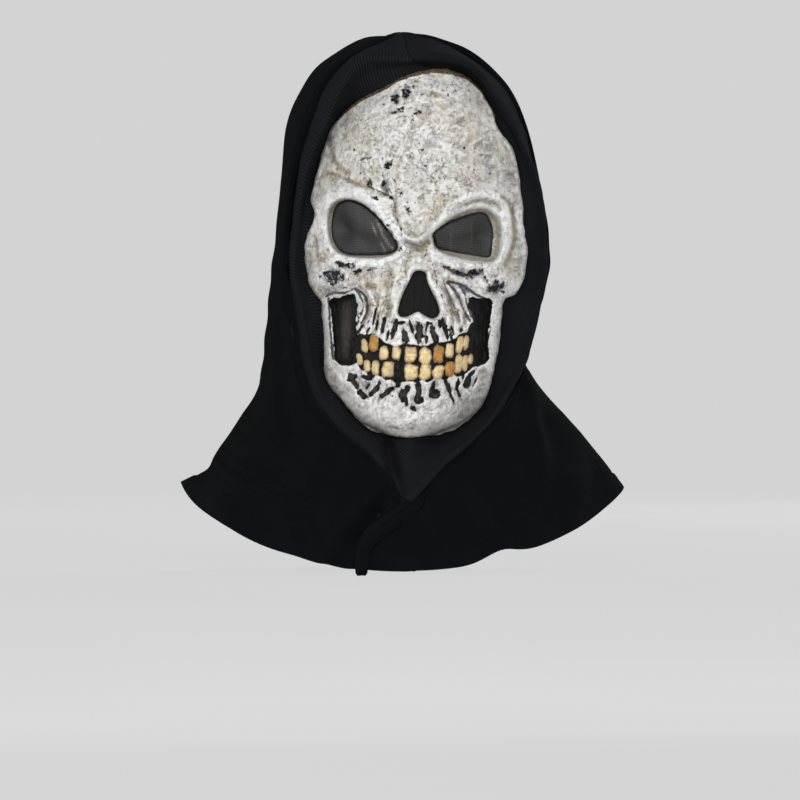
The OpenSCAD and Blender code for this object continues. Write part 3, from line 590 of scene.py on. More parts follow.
# ---------------------------------------------------------------- materials
class Paint:
    """A node material, built up from small steps. Sizes are in millimetres."""

    def __init__(self, name, roughness, specular, sheen=0.0):
        self.material = bpy.data.materials.new(name)
        self.material.use_nodes = True
        self.tree = self.material.node_tree
        self.shader = self.tree.nodes["Principled BSDF"]
        self.shader.inputs["Roughness"].default_value = roughness
        self.shader.inputs["Specular IOR Level"].default_value = specular
        self.shader.inputs["Sheen Weight"].default_value = sheen
        self.shader.inputs["Sheen Roughness"].default_value = 0.5
        self.place = self.node("ShaderNodeTexCoord").outputs["Object"]

    def node(self, kind, **settings):
        made = self.tree.nodes.new(kind)
        for name, value in settings.items():
            setattr(made, name, value)
        return made

    def feed(self, socket, value):
        if isinstance(value, bpy.types.NodeSocket):
            self.tree.links.new(value, socket)
        elif isinstance(value, tuple) and len(value) == 3 and socket.type == "RGBA":
            socket.default_value = (*value, 1)
        else:
            socket.default_value = value

    def attribute(self, name, output="Fac"):
        return self.node("ShaderNodeAttribute", attribute_name=name).outputs[output]

    def noise(self, size, detail=4.0, roughness=0.55, stretch=(1, 1, 1), place=None, unit=1 / MM):
        """Noise from 0 to 1 with features of that size, longer where stretch is over 1."""
        mapping = self.node("ShaderNodeMapping")
        self.feed(mapping.inputs["Vector"], place or self.place)
        self.feed(mapping.inputs["Scale"], tuple(unit / size / s for s in stretch))
        made = self.node("ShaderNodeTexNoise")
        self.feed(made.inputs["Vector"], mapping.outputs["Vector"])
        self.feed(made.inputs["Scale"], 1.0)
        self.feed(made.inputs["Detail"], detail)
        self.feed(made.inputs["Roughness"], roughness)
        return made.outputs["Fac"]

    def math(self, operation, a, b=0.0, clamp=False):
        made = self.node("ShaderNodeMath", operation=operation, use_clamp=clamp)
        self.feed(made.inputs[0], a)
        self.feed(made.inputs[1], b)
        return made.outputs[0]

    def plus(self, a, b, clamp=False):
        return self.math("ADD", a, b, clamp)

    def minus(self, a, b):
        return self.math("SUBTRACT", a, b)

    def times(self, a, b):
        return self.math("MULTIPLY", a, b)

    def larger(self, a, b):
        return self.math("MAXIMUM", a, b)

    def step(self, value, low, high):
        made = self.node("ShaderNodeMapRange", interpolation_type="SMOOTHSTEP")
        self.feed(made.inputs["Value"], value)
        self.feed(made.inputs["From Min"], low)
        self.feed(made.inputs["From Max"], high)
        return made.outputs["Result"]

    def mix(self, amount, a, b):
        made = self.node("ShaderNodeMix", data_type="RGBA")
        self.feed(made.inputs[0], amount)
        self.feed(made.inputs[6], a)
        self.feed(made.inputs[7], b)
        return made.outputs[2]

    def waves(self, pitch, axis, place, bend=None):
        """A sine wave across a place on the cloth, from -1 to 1, with that pitch."""
        parts = self.node("ShaderNodeSeparateXYZ")
        self.feed(parts.inputs[0], place)
        along = parts.outputs[axis]
        if bend is not None:
            along = self.plus(along, bend)
        return self.math("SINE", self.times(along, 2 * math.pi / pitch))

    def bump(self, height, depth):
        made = self.node("ShaderNodeBump")
        self.feed(made.inputs["Height"], height)
        self.feed(made.inputs["Distance"], depth * MM)
        return made.outputs["Normal"]

    def finish(self, colour, normal=None, roughness=None):
        self.feed(self.shader.inputs["Base Color"], colour)
        if normal is not None:
            self.feed(self.shader.inputs["Normal"], normal)
        if roughness is not None:
            self.feed(self.shader.inputs["Roughness"], roughness)
        return self.material


def painted_latex():
    """Bone-coloured latex, stained, rubbed, chipped and painted black in its hollows, with painted shade in
    its sockets, hollows and grey patches and painted highlights on its ridges.
    """
    p = Paint("painted_latex", roughness=0.62, specular=0.2)
    fine = p.noise(1.6, 4, 0.7)
    middle = p.noise(5, 5, 0.66)
    broad = p.noise(24, 4, 0.6)
    veins = p.noise(7, 6, 0.75, (1, 1, 1.4))
    marble = p.noise(4.2, 6, 0.78)
    ragged = p.minus(p.noise(2.4, 4, 0.65), 0.5)

    def share(a, b):
        """One strength times another, kept between 0 and 1."""
        return p.math("MULTIPLY", a, b, True)

    def creases(size, wide):
        """Thin wandering lines where a noise crosses its middle value."""
        away = p.math("ABSOLUTE", p.minus(p.noise(size, 5, 0.62), 0.5))
        return p.minus(1.0, p.step(away, 0.0, wide))

    colour = p.mix(p.step(broad, 0.35, 0.68), (0.57, 0.56, 0.535), (0.50, 0.475, 0.425))
    colour = p.mix(share(p.step(middle, 0.50, 0.66), 0.5), colour, (0.42, 0.385, 0.315))
    cool = p.step(p.noise(11, 5, 0.7), 0.53, 0.66)
    colour = p.mix(share(cool, 0.5), colour, (0.40, 0.415, 0.445))
    stain = share(p.attribute("beige"), p.step(veins, 0.30, 0.56))
    colour = p.mix(stain, colour, (0.31, 0.25, 0.15))
    # grey: grey paint and painted shade, from the grey patches and the shaded band along the outline
    grey = share(p.attribute("grey"), p.step(middle, 0.28, 0.60))
    colour = p.mix(share(grey, 0.9), colour, (0.215, 0.225, 0.255))
    # painted shade: a dark brown wash in the hollows, partly paint pooled there and partly standing in for
    # their shade
    wash_and_shade = share(p.attribute("hollow"), p.plus(p.times(middle, 1.1), 0.15))
    colour = p.mix(wash_and_shade, colour, (0.19, 0.155, 0.105))
    cracks = share(creases(13, 0.018), p.step(p.noise(19, 3, 0.5), 0.36, 0.52))
    small_cracks = share(creases(5.5, 0.024), p.step(p.noise(9, 3, 0.5), 0.40, 0.54))
    colour = p.mix(share(cracks, 0.85), colour, (0.20, 0.165, 0.11))
    colour = p.mix(share(small_cracks, 0.55), colour, (0.26, 0.225, 0.17))
    # painted shade: the eye sockets' walls are darkened to a shaded beige
    socket = share(p.attribute("socket"), p.step(middle, 0.10, 0.6))
    colour = p.mix(share(socket, 0.85), colour, (0.33, 0.32, 0.245))
    strands = share(p.attribute("strands"), p.step(fine, 0.25, 0.6))
    colour = p.mix(strands, colour, (0.15, 0.12, 0.08))
    specks = share(p.step(p.noise(2.4, 4, 0.8), 0.58, 0.64), p.step(p.noise(13, 3, 0.5), 0.42, 0.58))
    colour = p.mix(share(specks, 0.9), colour, (0.13, 0.11, 0.085))
    pale = share(p.step(p.noise(4.5, 6, 0.8), 0.52, 0.62), 0.45)
    # painted highlight: the ridges are made paler, partly as dry-brushed paint and partly as light falling
    # on them
    pale = p.larger(pale, share(p.attribute("ridge"), p.step(fine, 0.30, 0.52)))
    colour = p.mix(pale, colour, (0.70, 0.70, 0.695))
    rust = p.step(p.plus(p.attribute("rust_paint"), p.times(ragged, 0.7)), 0.34, 0.62)
    colour = p.mix(share(rust, 0.7), colour, (0.25, 0.13, 0.04))

    ink = p.step(p.plus(p.attribute("ink"), p.times(ragged, 0.9)), 0.34, 0.70)
    colour = p.mix(share(ink, 0.93), colour, (0.030, 0.028, 0.028))
    through = p.plus(p.attribute("rubbed"), p.times(p.minus(marble, 0.5), 3.0))
    bruise = share(p.step(through, 0.34, 0.78), p.attribute("rubbed"))
    colour = p.mix(bruise, colour, (0.125, 0.13, 0.155))
    chip = p.plus(p.times(p.attribute("chip"), 0.80), p.times(ragged, 3.6))
    chip = p.larger(p.step(chip, 0.52, 0.68), p.step(through, 0.86, 0.98))
    black_edge = p.plus(p.attribute("black"), p.times(ragged, 0.9))
    black = p.larger(p.step(black_edge, 0.44, 0.6), chip)
    dull = share(p.step(p.noise(5, 5, 0.75, (1, 1, 2)), 0.46, 0.70), 0.55)
    dark = p.mix(p.plus(p.attribute("grey_band"), dull, True), (0.0045, 0.0046, 0.0052),
                 (0.044, 0.040, 0.036))
    colour = p.mix(black, colour, dark)

    tooth = p.step(p.plus(p.attribute("tooth"), p.times(ragged, 0.28)), 0.43, 0.55)
    enamel = p.mix(p.step(p.noise(3.2, 4, 0.6), 0.35, 0.7), (0.74, 0.59, 0.34), (0.60, 0.44, 0.21))
    rusty = p.mix(p.step(middle, 0.3, 0.7), (0.50, 0.26, 0.07), (0.36, 0.165, 0.035))
    enamel = p.mix(p.attribute("rust"), enamel, rusty)
    rim = p.minus(1.0, p.step(p.attribute("tooth"), 0.60, 0.95))
    enamel = p.mix(share(rim, 0.55), enamel, (0.22, 0.14, 0.05))
    colour = p.mix(tooth, colour, enamel)
    raw = p.step(p.plus(p.attribute("raw"), p.times(ragged, 0.9)), 0.40, 0.62)
    colour = p.mix(raw, colour, p.mix(p.step(fine, 0.40, 0.62), (0.050, 0.026, 0.014), (0.20, 0.145, 0.09)))

    grain = p.plus(fine, p.times(p.plus(middle, marble), 1.2))
    grooves = p.plus(p.times(cracks, 0.9), p.times(small_cracks, 0.6))
    normal = p.bump(p.minus(grain, grooves), 0.5)
    rough = p.minus(p.plus(0.58, p.times(black, 0.22)), p.times(tooth, 0.24))
    return p.finish(colour, normal, rough)


def raw_latex():
    """The unpainted inner side of the latex."""
    p = Paint("raw_latex", roughness=0.75, specular=0.3)
    colour = p.mix(p.step(p.noise(14, 5, 0.6), 0.35, 0.7), (0.55, 0.44, 0.30), (0.42, 0.33, 0.215))
    return p.finish(colour, p.bump(p.noise(1.6, 5, 0.6), 0.35))


def knitted(name, colour, ribs=0.0, sheen=0.004):
    """Knitted cloth whose stitches follow the cloth's own lengths, kept in the attribute cloth."""
    p = Paint(name, roughness=1.0, specular=0.0, sheen=sheen)
    place_on = p.attribute("cloth", "Vector")
    across, along_it = p.waves(1.5, "X", place_on), p.waves(1.15, "Y", place_on)
    stitch = p.times(p.math("ABSOLUTE", across), p.plus(p.times(along_it, 0.4), 0.6))
    height, pale, deep = stitch, 1.7, 0.28
    if ribs:
        parts = p.node("ShaderNodeSeparateXYZ")
        p.feed(parts.inputs[0], place_on)
        slant = p.times(parts.outputs["Y"], 0.55)
        rib = p.times(p.waves(2.5, "X", place_on, slant), ribs)
        height, pale, deep = p.plus(p.times(stitch, 0.35), rib), 2.0, 0.16
    fuzz = p.noise(0.7, 3, 0.7, place=place_on, unit=1)
    lint = p.noise(26, 4, 0.6)
    # painted light and shade: the raised stitches and ribs are coloured paler than the hollows between them
    shade = p.mix(p.step(height, -0.3, 0.9), colour, tuple(pale * c for c in colour))
    shade = p.mix(p.times(p.step(lint, 0.42, 0.75), 0.35), shade, tuple(2.0 * c for c in colour))
    return p.finish(shade, p.bump(p.plus(height, p.times(fuzz, 0.8)), deep))


def netting():
    """Fine see-through netting behind an opening, scratched by the paint brush. Its holes are painted near
    black for the shade seen through them.
    """
    p = Paint("eye_netting", roughness=0.62, specular=0.3)
    place_on = p.attribute("cloth", "Vector")
    grid = p.larger(p.waves(1.2, "X", place_on), p.waves(1.2, "Y", place_on))
    threads = p.step(grid, 0.1, 0.95)
    # painted shade: the holes between the threads are near black, for the shaded inside seen through them
    colour = p.mix(threads, (0.014, 0.014, 0.015), (0.052, 0.051, 0.051))
    colour = p.mix(p.times(p.step(p.noise(2.2, 4, 0.7), 0.5, 0.7), 0.5), colour, (0.055, 0.054, 0.053))
    scratch = p.times(p.attribute("scratch"), p.step(p.noise(0.9, 3, 0.7), 0.42, 0.6))
    colour = p.mix(scratch, colour, (0.30, 0.29, 0.27))
    return p.finish(colour, p.bump(threads, 0.15))


def nose_cloth():
    """Black cloth, gathered in upright folds behind the nose."""
    p = Paint("nose_cloth", roughness=0.8, specular=0.1)
    place_on = p.attribute("cloth", "Vector")
    weave = p.times(p.waves(0.9, "X", place_on), p.waves(0.9, "Y", place_on))
    # painted light and shade: the raised crossings of the weave are coloured paler than the gaps between
    # them
    colour = p.mix(p.step(weave, -0.2, 0.8), (0.008, 0.008, 0.008), (0.021, 0.0205, 0.0205))
    return p.finish(colour, p.bump(weave, 0.12))


def woven_elastic():
    """Ribbed elastic webbing, its ribs running along the strap."""
    p = Paint("elastic_webbing", roughness=0.8, specular=0.25, sheen=0.1)
    rib = p.waves(1.25 * MM, "Z", p.place)
    pick = p.noise(0.8, 2, 0.6, (1, 1, 0.4))
    height = p.plus(rib, pick)
    # painted light and shade: the raised ribs are coloured paler than the grooves between them
    colour = p.mix(p.step(height, 0.0, 1.4), (0.008, 0.008, 0.009), (0.035, 0.034, 0.033))
    return p.finish(colour, p.bump(height, 0.25))


def moulded(name, colour, roughness=0.4):
    """Moulded plastic with a fine spark-eroded grain."""
    p = Paint(name, roughness=roughness, specular=0.5)
    mottle = p.step(p.noise(9, 3, 0.5), 0.35, 0.7)
    grain = p.noise(0.35, 2, 0.5)
    rough = p.plus(roughness - 0.08, p.times(grain, 0.2))
    return p.finish(p.mix(mottle, colour, tuple(1.5 * c for c in colour)), p.bump(grain, 0.05), rough)


def label_cloth():
    """A plain satin label with woven edges and no lettering."""
    p = Paint("label_satin", roughness=0.5, specular=0.4, sheen=0.2)
    weave = p.waves(0.5 * MM, "X", p.place)
    colour = p.mix(p.step(p.noise(7, 3, 0.5), 0.35, 0.7), (0.74, 0.73, 0.70), (0.66, 0.65, 0.62))
    return p.finish(colour, p.bump(weave, 0.06))


def sewing_thread():
    """Twisted black polyester thread."""
    p = Paint("sewing_thread", roughness=0.9, specular=0.05)
    twist = p.noise(0.5, 2, 0.5, (1, 1, 0.5))
    colour = p.mix(p.step(twist, 0.35, 0.7), (0.004, 0.004, 0.0045), (0.011, 0.011, 0.0115))
    return p.finish(colour, p.bump(twist, 0.1))


# ---------------------------------------------------------------- the face: mesh
# The grid that the face is cut from: its reach in x and z, and its step
FACE_X, FACE_Z = (-83, 81), (-147, 119)
FACE_STEP = 0.82
LATEX_THICK = 3.0
# How far the cloth behind an opening runs past it, and how thick it is
GLUE_MARGIN = 4.0
NETTING_THICK = 0.45
# Scratches on the netting: x, z, half length, tilt, strength
SCRATCHES = [
    (-28, 4, 6, 60, 1), (-25, -3, 8, 62, 1), (-22, -7, 7, 55, 1), (-19, -4, 5, 50, 1), (-18, -12, 4, 40, 1),
    (-31, 0, 4, 65, 1), (-24, -12, 4, 60, 1), (23, -3, 9, 88, 0.25), (37, 2, 8, 85, 0.25),
]


def face_frame(x, y, z):
    """Points of the face's own frame, leant into the hood's frame."""
    c, s = math.cos(FACE_LEAN), math.sin(FACE_LEAN)
    return np.stack([(x * c + z * s) * FACE_K + FACE_SHIFT, y + 0 * x, (z * c - x * s) * FACE_K], -1)


def grid_faces(keep, offset=0, flip=False):
    """The quads of a grid whose cells are kept, as an array of vertex numbers."""
    rows, cols = keep.shape
    number = np.arange((rows + 1) * (cols + 1)).reshape(rows + 1, cols + 1) + offset
    a, b, c, d = number[:-1, :-1], number[:-1, 1:], number[1:, 1:], number[1:, :-1]
    quads = np.stack([a, b, c, d] if not flip else [a, d, c, b], -1)
    return quads[keep]


def rim_edges(faces):
    """The edges that only one face has, in that face's order."""
    pairs = np.concatenate([faces[:, [k, (k + 1) % 4]] for k in range(4)])
    key = np.sort(pairs, 1)
    _, first, count = np.unique(key, axis=0, return_index=True, return_counts=True)
    return pairs[first[count == 1]]


def cells_around(keep):
    """Whether each of the four cells round every vertex of a grid is kept."""
    padded = np.pad(keep, 1)
    return np.array([padded[:-1, :-1], padded[:-1, 1:], padded[1:, :-1], padded[1:, 1:]])


def snap_to_edge(x, z, gap, keep):
    """Moves the vertices at the rim of the kept cells onto the line where gap is 0."""
    around = cells_around(keep)
    used = around.any(0)
    rim = used & ~around.all(0)
    dz, dx = np.gradient(gap, FACE_STEP)
    size = dx * dx + dz * dz + 1e-6
    move = np.where(rim, np.clip(gap, -1.1 * FACE_STEP, 1.1 * FACE_STEP), 0)
    return x - move * dx / size, z - move * dz / size, used


def thick_mesh(name, front, back, keep, used, materials):
    """A mesh with a front, a back and walls between them along every rim."""
    faces = grid_faces(keep, flip=True)
    count = front.shape[0] * front.shape[1]
    rim = rim_edges(faces)
    behind = faces[:, ::-1] + count
    walls = np.stack([rim[:, 1], rim[:, 0], rim[:, 0] + count, rim[:, 1] + count], -1)
    every = np.concatenate([faces, behind, walls])
    points = np.concatenate([front.reshape(-1, 3), back.reshape(-1, 3)])
    both = np.tile(used.ravel(), 2)
    number = np.cumsum(both) - 1
    piece = make_mesh(name, points[both], number[every], materials[0])
    for extra in materials[1:]:
        piece.data.materials.append(extra)
    index = np.zeros(len(every), int)
    index[len(faces):len(faces) + len(behind)] = len(materials) - 1
    piece.data.polygons.foreach_set("material_index", index)
    return piece


def build_face():
    """The latex moulding, with its openings, teeth and painted fields. Returns its grid and openings."""
    x, z = np.meshgrid(np.arange(*FACE_X, FACE_STEP), np.arange(*FACE_Z, FACE_STEP))
    edge_gap = outline_distance(x, z, spline(OUTLINE, 3, True))
    front, gaps, fields = shape_face(x, z)
    edge_wave = 0.35 * noise(x, z, 5, 301, 2)
    nearest_hole = np.minimum(gaps["left"], np.minimum(gaps["right"], gaps["nose"]))
    gap = np.maximum(edge_gap + edge_wave, -nearest_hole)
    keep = (gap[:-1, :-1] + gap[:-1, 1:] + gap[1:, :-1] + gap[1:, 1:]) < 0
    front = front + 1.8 * smooth(-2.6, 0.2, edge_gap) ** 2
    back = np.maximum(front + 1.9, blur(front, 4) + LATEX_THICK)
    sx, sz, used = snap_to_edge(x, z, gap, keep)

    piece = thick_mesh("latex_face", face_frame(sx, front, sz), face_frame(sx, back, sz), keep, used,
                       [painted_latex(), raw_latex()])
    near = front - blur(front, 2.6)
    wide = front - blur(front, 9)
    # hollow: how far each place is sunk below its surroundings, for the dark wash that is partly pooled
    # paint and partly painted shade
    fields["hollow"] = np.clip(1.1 * near, 0, 1) * 0.8 + np.clip(0.12 * wide, 0, 0.45)
    fields["hollow"] *= smooth(-0.5, -3, edge_gap)
    # ridge: how far each place stands above its surroundings, for pale dry-brushed paint that also serves as
    # a painted highlight
    fields["ridge"] = np.clip(-1.3 * near - 0.05, 0, 1) * 0.9 + np.clip(-0.10 * wide, 0, 0.3)
    fields["beige"] = np.clip(patches(x, z, BEIGE), 0, 1)
    fields["grey"] = np.clip(patches(x, z, GREY), 0, 1)
    fields["rust_paint"] = blots(x, z, RUST, 1.6)
    fields["strands"] = np.clip(fields["jaw"] * np.clip(-1.6 * fields["striation"] + 0.1, 0, 1), 0, 0.85)
    top = smooth(66, 84, z) * (1.9 + 1.7 * bump(x, z, 9, 114, 17, 9) + 0.5 * noise(x, z, 6, 305, 3))
    top *= 1 - 0.55 * smooth(36, 48, x)
    fields["raw"] = np.clip(0.5 + (top + edge_gap) / 1.6, 0, 1) * smooth(60, 72, z)
    # painted shade: grey along the face's outline below the forehead, where its sides turn away from the
    # light
    fields["grey"] = np.maximum(fields["grey"], 0.8 * smooth(-3.5, -0.5, edge_gap) * (1 - smooth(60, 90, z)))
    ink = np.zeros(x.shape)
    for width, strength, path in INK:
        line = path_distance(x, z, spline(path)) + 0.4 * noise(x, z, 3, 330, 2)
        ink = np.maximum(ink, strength * np.clip(0.5 + (width - line) / 1.5, 0, 1))
    fields["ink"] = ink
    fields["rubbed"] = np.clip(patches(x, z, RUBBED), 0, 1)
    for name in ("black", "chip", "tooth", "rust", "socket", "grey_band", "hollow", "beige", "grey",
                 "rust_paint", "strands", "raw", "ink", "rubbed", "ridge"):
        layer = fields[name][used]
        paint(piece, name, np.concatenate([layer, layer]))
    dress(piece, "mask_shell")
    return (x, z, back), gaps


def build_netting(name, node, gap, material, sag, folds=0.0):
    """Cloth stretched behind an opening, glued to the latex all round it."""
    x, z, back = face_grid
    ring = ((gap > 0.2) & (gap < 3.5)).astype(float)
    stretch = blur(back * ring, 9) / np.maximum(blur(ring, 9), 1e-5)
    surface = stretch + 0.9 + sag * smooth(0, -12, gap)
    surface += folds * np.sin(x * 1.15 + 0.4 * np.sin(z * 0.11)) * smooth(1, -4, gap)
    surface = np.where(gap > -1.2, np.maximum(surface, back + 0.35), surface)
    surface = np.where(gap > -1.2, surface, np.maximum(surface, stretch + 0.2))
    keep = (gap[:-1, :-1] + gap[1:, 1:]) / 2 < GLUE_MARGIN
    used = cells_around(keep).any(0)
    piece = thick_mesh(name, face_frame(x, surface, z), face_frame(x, surface + NETTING_THICK, z), keep,
                       used, [material])
    sheet_place = np.stack([x, z, 0 * x], -1)[used]
    place(piece, "cloth", np.concatenate([sheet_place, sheet_place]))
    scratch = np.zeros(x.shape)
    for cx, cz, length, tilt, strength in SCRATCHES:
        scratch = np.maximum(scratch, strength * bump(x, z, cx, cz, length, 0.7, -tilt))
    paint(piece, "scratch", np.concatenate([scratch[used], scratch[used]]))
    dress(piece, node)
    middle = used.any(1).nonzero()[0].mean().astype(int)


face_grid, hole_gaps = build_face()
eye_cloth = netting()
for at_side in ("left", "right"):
    build_netting("eye_net_" + at_side, "eye_mesh_" + at_side, hole_gaps[at_side], eye_cloth,
                  0.6)
build_netting("nose_cloth", "nose_mesh", hole_gaps["nose"], nose_cloth(), 1.0, folds=0.7)


# ---------------------------------------------------------------- the hood: sections
# Sections from the crown to the hem: height at the sides, middle, leftmost, rightmost, front, back
# and how far the section drops at the front and back
HOOD_ROWS = [
    (141.8, -7, -7.8, -6.2, -36, 12, 0), (141.2, -7, -26.5, 12.5, -44, 29, 0),
    (136.4, -6.5, -43.5, 30.5, -53, 48, 0), (123.6, -6, -66.5, 49.5, -67, 75, 0),
    (104, -5, -80.8, 70.8, -75, 92, 0), (78, -5, -90.6, 83, -79, 101, 0),
    (41, -3, -93.8, 92, -81, 107, 0), (0, 0, -97.5, 98.4, -83, 107, 0),
    (-30, -2, -101.5, 97.6, -86, 103, 0), (-60, -5, -104, 88.5, -90, 96, 0),
    (-90, -10, -107, 81.5, -96, 90, 0), (-112, -9, -111, 93.5, -100, 91, 4),
    (-130, -8, -122, 108.5, -104, 98, 14), (-156, -5, -139.5, 131, -110, 109, 34),
    (-169, -6, -146, 141, -112, 114, 47), (-180, -7, -163, 150, -114, 119, 57),
]
# Where each panel's front edge stands: section, and degrees from the middle of the front.
# Below the chin the right panel crosses over the left one.
EDGE_LEFT = [(0, 10), (1, 15), (2, 20), (3, 40), (4, 49.3), (5, 52), (6, 61.6), (7, 64), (8, 61), (9, 52.6),
             (10, 45.3), (11, 37.6), (12, 21), (12.15, 13.6), (12.5, 4.9), (13, -0.8), (14, -3), (15, -3.5)]
EDGE_RIGHT = [(0, 10), (1, 28), (2, 54), (3, 74), (4, 82), (5, 86), (8, 86), (9, 85), (10, 77), (11, 49),
              (12, 28.7), (12.15, 21.3), (12.5, 10), (13, 1.7), (13.5, -4.6), (14, -9.5), (15, -10.2)]
CLOTH_THICK = 1.5
FACING_THICK = 1.3
BAND_THICK = 1.2


def along(table, t):
    """A table read at a section number, through every value and smooth between them."""
    table = np.asarray(table, float)
    t = np.clip(t, 0, len(table) - 1)
    i = np.minimum(t.astype(int), len(table) - 2)
    f = t - i
    a, b = table[np.maximum(i - 1, 0)], table[i]
    c, d = table[i + 1], table[np.minimum(i + 2, len(table) - 1)]
    return catmull_rom(a, b, c, d, f)


def hood_surface(t, turn, side, inwards=0.0):
    """Points of the hood's outer surface: section number and degrees from the front's middle."""
    z, mid, left, right, front, back, drop = (along([row[k] for row in HOOD_ROWS], t) for k in range(7))
    angle = np.radians(turn)
    reach = np.where(side < 0, mid - left, right - mid) - inwards
    front, back = front + inwards, back - inwards
    x = mid + side * reach * np.sin(angle)
    y = (front + back) / 2 - (back - front) / 2 * np.cos(angle)
    return np.stack([x, y, z - drop * np.abs(np.cos(angle)) ** 1.5], -1)


def normals_of(points):
    """Unit normals of a grid of points."""
    du = np.gradient(points, axis=1)
    dv = np.gradient(points, axis=0)
    n = np.cross(du, dv)
    return n / np.maximum(np.linalg.norm(n, axis=2, keepdims=True), 1e-9)


def lengths_on(points):
    """How far each point lies along the cloth, across and down, in millimetres."""
    across = np.concatenate([np.zeros((len(points), 1)),
                             np.cumsum(np.linalg.norm(np.diff(points, axis=1), axis=2), 1)], 1)
    down = np.concatenate([np.zeros((1, points.shape[1])),
                           np.cumsum(np.linalg.norm(np.diff(points, axis=0), axis=2), 0)], 0)
    return np.stack([across, down, 0 * down], -1)


def cloth_mesh(name, points, material, thickness, offset=0, flip=False):
    """A sheet of cloth from a grid of points. Its material reads how far each lies along the cloth."""
    faces = grid_faces(np.ones((points.shape[0] - 1, points.shape[1] - 1), bool), flip=flip)
    piece = make_mesh(name, points.reshape(-1, 3), faces, material)
    place(piece, "cloth", lengths_on(points).reshape(-1, 3))
    thicken(piece, thickness, offset)
    return piece


# Folds seen from the front: height outwards, half width, line
LEFT_FOLDS = [
    (2.2, 4.5, [(-99, -60), (-101, -85), (-99, -110), (-95, -138)]),
    (-2.4, 7, [(-92, -70), (-92, -100), (-86, -140)]),
    (-9.0, 7, [(-25, -197), (-33, -208), (-44, -219), (-53, -238)]),
    (-3.0, 4, [(-17, -186), (-25, -197)]),
    (3.0, 4, [(-22, -178), (-35, -194), (-50, -210), (-62, -232)]),
    (1.5, 4, [(-60, -198), (-54, -203), (-47, -210)]),
    (3.0, 7, [(-134, -152), (-112, -170), (-88, -200), (-80, -226)]),
    (-3.0, 7, [(-120, -150), (-95, -172), (-72, -200), (-64, -228)]),
    (3.0, 8, [(-150, -176), (-135, -190), (-122, -212)]),
    (1.6, 6, [(-58, -150), (-70, -170), (-90, -184)]),
    (1.2, 4, [(-85, 60), (-86, 30), (-90, 0), (-94, -30)]),
]
RIGHT_FOLDS = [
    (2.4, 4.5, [(83, -98), (87, -115), (89, -140), (90, -168)]),
    (-3.4, 6, [(78, -112), (77, -140), (84, -172)]),
    (-3.2, 7, [(98, -130), (103, -160), (98, -185)]),
    (3.0, 8, [(118, -142), (122, -168), (112, -200)]),
    (3.6, 8, [(24, -176), (38, -190), (52, -204), (60, -222)]),
    (-2.6, 8, [(6, -186), (22, -196), (34, -214), (40, -236)]),
    (1.8, 7, [(58, -150), (64, -172), (76, -196), (80, -218)]),
    (-1.6, 7, [(44, -160), (50, -182), (66, -208)]),
    (1.6, 6, [(0, -204), (4, -220), (2, -238)]),
]


def build_panel(name, node, side, edges, folds, material):
    """One side of the hood, from its rolled front edge round to the seam at the back."""
    rows, columns = 250, 128
    t = np.linspace(0, len(HOOD_ROWS) - 1, rows)[:, None] + np.zeros((1, columns))
    start = soft_table(edges, t, 0.2)
    # columns stand closer together near the front edge, where the bead is
    spread = (np.linspace(0, 1, columns) ** 1.35)[None, :]
    turn = start + (180 - start) * spread
    points = hood_surface(t, turn, side)
    normal = normals_of(points)
    normal *= np.sign(np.sum(normal * (points - points.mean((0, 1))), axis=2).mean())
    x, z = points[..., 0], points[..., 2]
    facing = smooth(100, 60, turn)
    plain_size = lengths_on(points)
    from_edge = plain_size[..., 0]
    to_seam = from_edge[:, -1:] - from_edge
    out = np.zeros(t.shape)
    for height, width, path in folds:
        out += height * ridge(x, z, path, width) * facing
    # long soft folds down the cape, growing towards the hem
    low = smooth(9.5, 14.5, t)
    cape_wave = np.sin(np.radians(turn) * 9 + side * 0.8 + 0.5 * np.sin(t * 1.3))
    out += low * 3.4 * cape_wave * smooth(25, 70, turn)
    out += 1.7 * noise(x, points[..., 1] * 0.6 + z * 0.35, 55, 600 + side, 3)
    out += 0.5 * smooth(5, 9, t) * smooth(12, 9, t) * np.sin(t * 7.0 + np.radians(turn) * 3)
    # both panels meet along the seam
    out *= smooth(0, 24, to_seam)
    # the right panel stands out where it lies over the left one
    if side > 0:
        out += 3.6 * smooth(11.6, 13.2, t) * smooth(26, 6, turn)
    # rolled bead along the front edge, and the seam's shallow valley at the back
    bead = 1.7 * np.exp(-((from_edge - 2.2) / 1.8) ** 2) - 1.0 * np.exp(-((from_edge - 6.5) / 2.0) ** 2)
    out += bead * smooth(0, 1.6, t)
    valley = 0.7 * np.exp(-((to_seam - 4.5) / 2.2) ** 2) - 1.3 * np.exp(-(to_seam / 2.2) ** 2)
    out += valley * smooth(0.3, 2, t)
    # turned hem
    to_hem = plain_size[-1:, :, 1] - plain_size[..., 1]
    out += 0.7 * smooth(13.5, 12.0, to_hem) - 0.8 * np.exp(-((to_hem - 12.4) / 1.0) ** 2)
    points = points + normal * out[..., None]
    # the very edge curls inwards
    curl = smooth(1.6, 0, from_edge)[..., None]
    points = points - normal * curl * 2.2
    points[..., 2] += 6.0 * bump(x, z, 62, -228, 15, 14) * (side > 0) * low
    piece = cloth_mesh(name, points, material, CLOTH_THICK, offset=-1, flip=side > 0)
    dress(piece, node)
    return points


